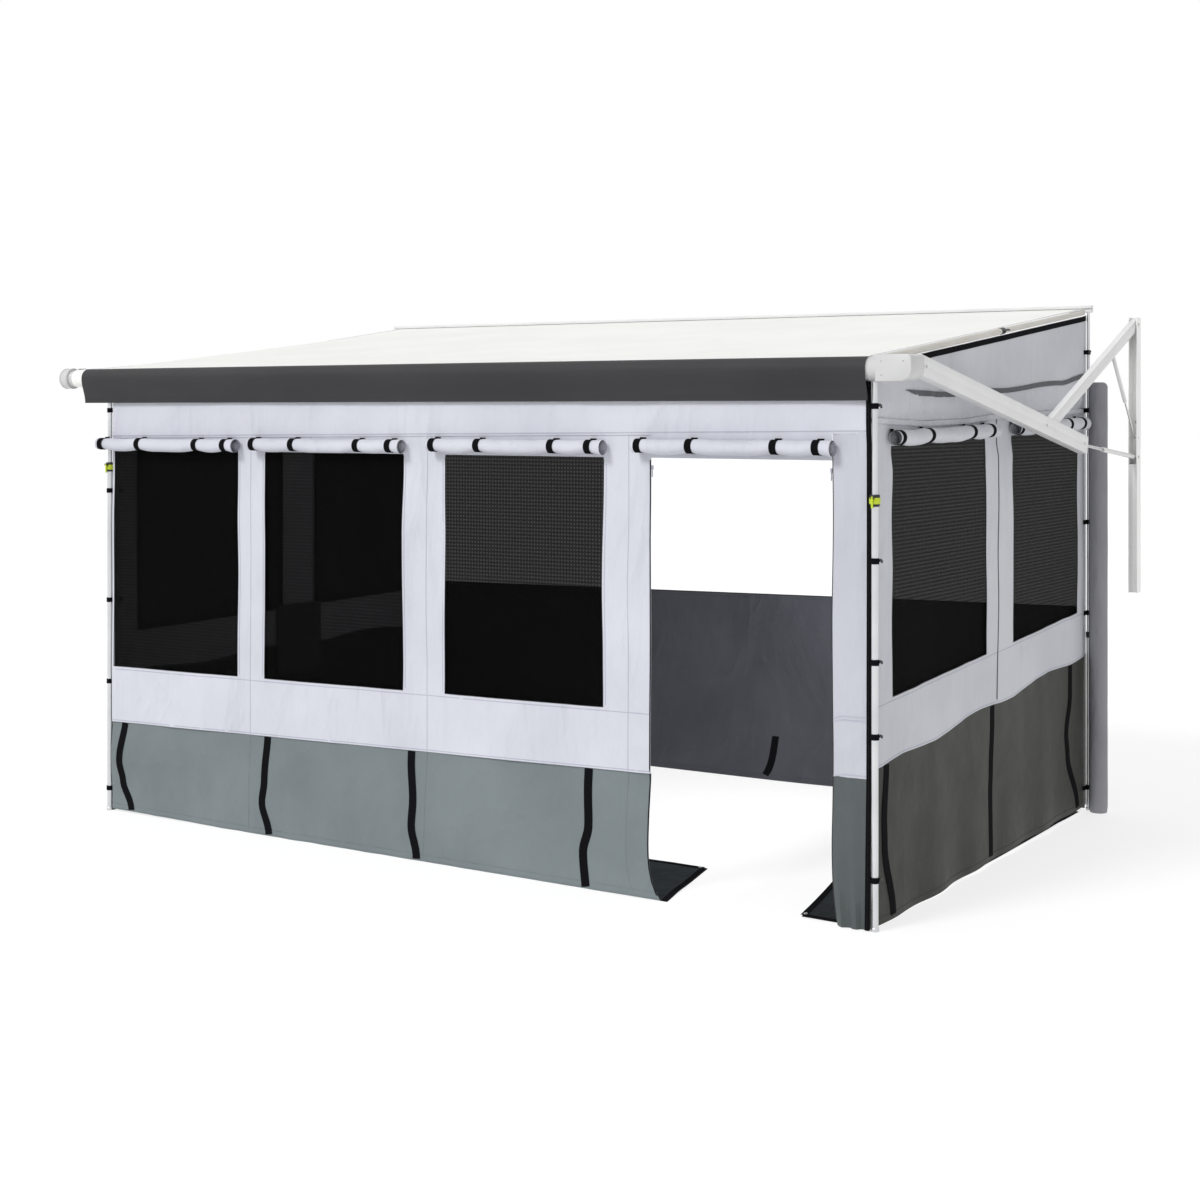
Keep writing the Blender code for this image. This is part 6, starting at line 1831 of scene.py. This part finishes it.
stitchSizes = {"Pitch": 0.0095, "Long": 0.0070, "Wide": 0.0020, "Tall": 0.0026}
toothSizes = {"Pitch": 0.0042, "Long": 0.0026, "Wide": 0.0062, "Tall": 0.0022}
studSizes = {"Flatness": 0.45}
clothBody = {"root": "walls", "roof": "roof"}      # sewn lines follow the cloth that they are sewn to
toothTree = runTree("zipTeeth", "blackPlastic", toothSizes)
studsTree = studTree("studs", "screwSteel", studSizes)
for body, edges in seamEdges.items():
    shape = bmesh.new()
    for points, facing in edges:
        addTape(shape, points, facing, 0.0042, 0.0010)
    if edges:
        # The strips are darker than the cloth: painted shade along each turned edge
        trim("seamEdges" + body.title(), shape, "seamCloth", clothBody[body])
for (body, thread), runs in seams.items():
    name = "stitches" + body.title() + thread.title()
    tree = runTree(name, thread, stitchSizes)
    grow(name, runMesh("stitchRuns", runs), tree, stitchSizes, clothBody[body], thread)
grow("zipTeeth", runMesh("zipRuns", zipRuns), toothTree, toothSizes, "root", "blackPlastic")
for body, items in studs.items():
    grow("studs_" + body, studMesh("studPoints", items), studsTree, studSizes, body, "screwSteel")
print("stitches, teeth and studs done")


# Stage, light and camera

photo = {"size": 1200, "focal": 1865.76, "middleX": 647.0, "middleY": 410.9, "yaw": 0.5497,
         "place": (5.1278, -7.6963, 1.9658)}
lights = {
    "back": 0.62, "seen": 1.0, "sun": 1.75, "sunTurn": 18, "sunFrom": (-0.30, -0.74, 0.70),
    "inside": 34, "insideAt": (1.5, 0.05, 1.25), "insideSize": (2.0, 1.4),
}
paleFloor = {"Base Color": (0.30, 0.30, 0.30, 1), "Roughness": 0.9, "Specular IOR Level": 0.1,
             "Emission Color": (1, 1, 1, 1), "Emission Strength": 0.74}


def makeStage():
    shape = bmesh.new()
    place = Matrix.Translation((0, 0, -0.0005))        # just under the room's feet
    bmesh.ops.create_grid(shape, x_segments=1, y_segments=1, size=90, matrix=place)
    floor = newPiece("floor", shape, [])
    made = bpy.data.materials.new("paleFloor")
    made.use_nodes = True
    for socket, value in paleFloor.items():
        made.node_tree.nodes["Principled BSDF"].inputs[socket].default_value = value
    floor.data.materials.append(made)
    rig.stage(floor)


def makeWorld():                       # white where the camera or a shine sees it, dimmer as a light
    world = bpy.data.worlds.new("studio")
    world.use_nodes = True
    bpy.context.scene.world = world
    tree = world.node_tree
    background = tree.nodes["Background"]
    background.inputs["Color"].default_value = (1, 1, 1, 1)
    path = addNode(tree, "ShaderNodeLightPath").outputs
    seen = combine(tree, "MAXIMUM", path["Is Camera Ray"], path["Is Glossy Ray"])
    seen = combine(tree, "MAXIMUM", seen, path["Is Transmission Ray"])
    limits = {"Value": seen, "To Min": lights["back"], "To Max": lights["seen"]}
    strength = addNode(tree, "ShaderNodeMapRange", limits).outputs["Result"]
    tree.links.new(strength, background.inputs["Strength"])


def makeLights():
    sun = bpy.data.objects.new("keyLight", bpy.data.lights.new("keyLight", "SUN"))
    sun.data.energy = lights["sun"]
    sun.data.angle = math.radians(lights["sunTurn"])
    sun.rotation_mode = "QUATERNION"
    sun.rotation_quaternion = Vector(lights["sunFrom"]).to_track_quat("Z", "Y")
    inside = bpy.data.objects.new("insideLight", bpy.data.lights.new("insideLight", "AREA"))
    inside.data.energy = lights["inside"]        # what the pale roof lets through onto the far wall
    inside.data.shape = "RECTANGLE"
    inside.data.size, inside.data.size_y = lights["insideSize"]
    turn = Vector((1, 0, 0)).to_track_quat("Z", "Y").to_matrix().to_4x4()
    inside.matrix_world = Matrix.Translation(lights["insideAt"]) @ turn
    inside.visible_camera = False
    inside.visible_glossy = False
    for light in (sun, inside):
        bpy.context.scene.collection.objects.link(light)


def makeCamera():
    camera = bpy.data.objects.new("camera", bpy.data.cameras.new("camera"))
    camera.data.sensor_width = 36
    camera.data.lens = photo["focal"] * 36 / photo["size"]
    camera.data.shift_x = (photo["size"] / 2 - photo["middleX"]) / photo["size"]
    camera.data.shift_y = (photo["middleY"] - photo["size"] / 2) / photo["size"]
    camera.location = photo["place"]
    camera.rotation_euler = (math.pi / 2, 0, photo["yaw"])
    bpy.context.scene.collection.objects.link(camera)
    bpy.context.scene.camera = camera


makeStage()
makeWorld()
makeLights()
makeCamera()
bpy.context.scene.view_settings.view_transform = "Standard"

sizes = {"cad": [list(corner) for corner in cadBounds], "visual": [list(corner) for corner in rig.bounds()]}
with open("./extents.json", "w") as out:
    json.dump(sizes, out)
print("sizes:", sizes)
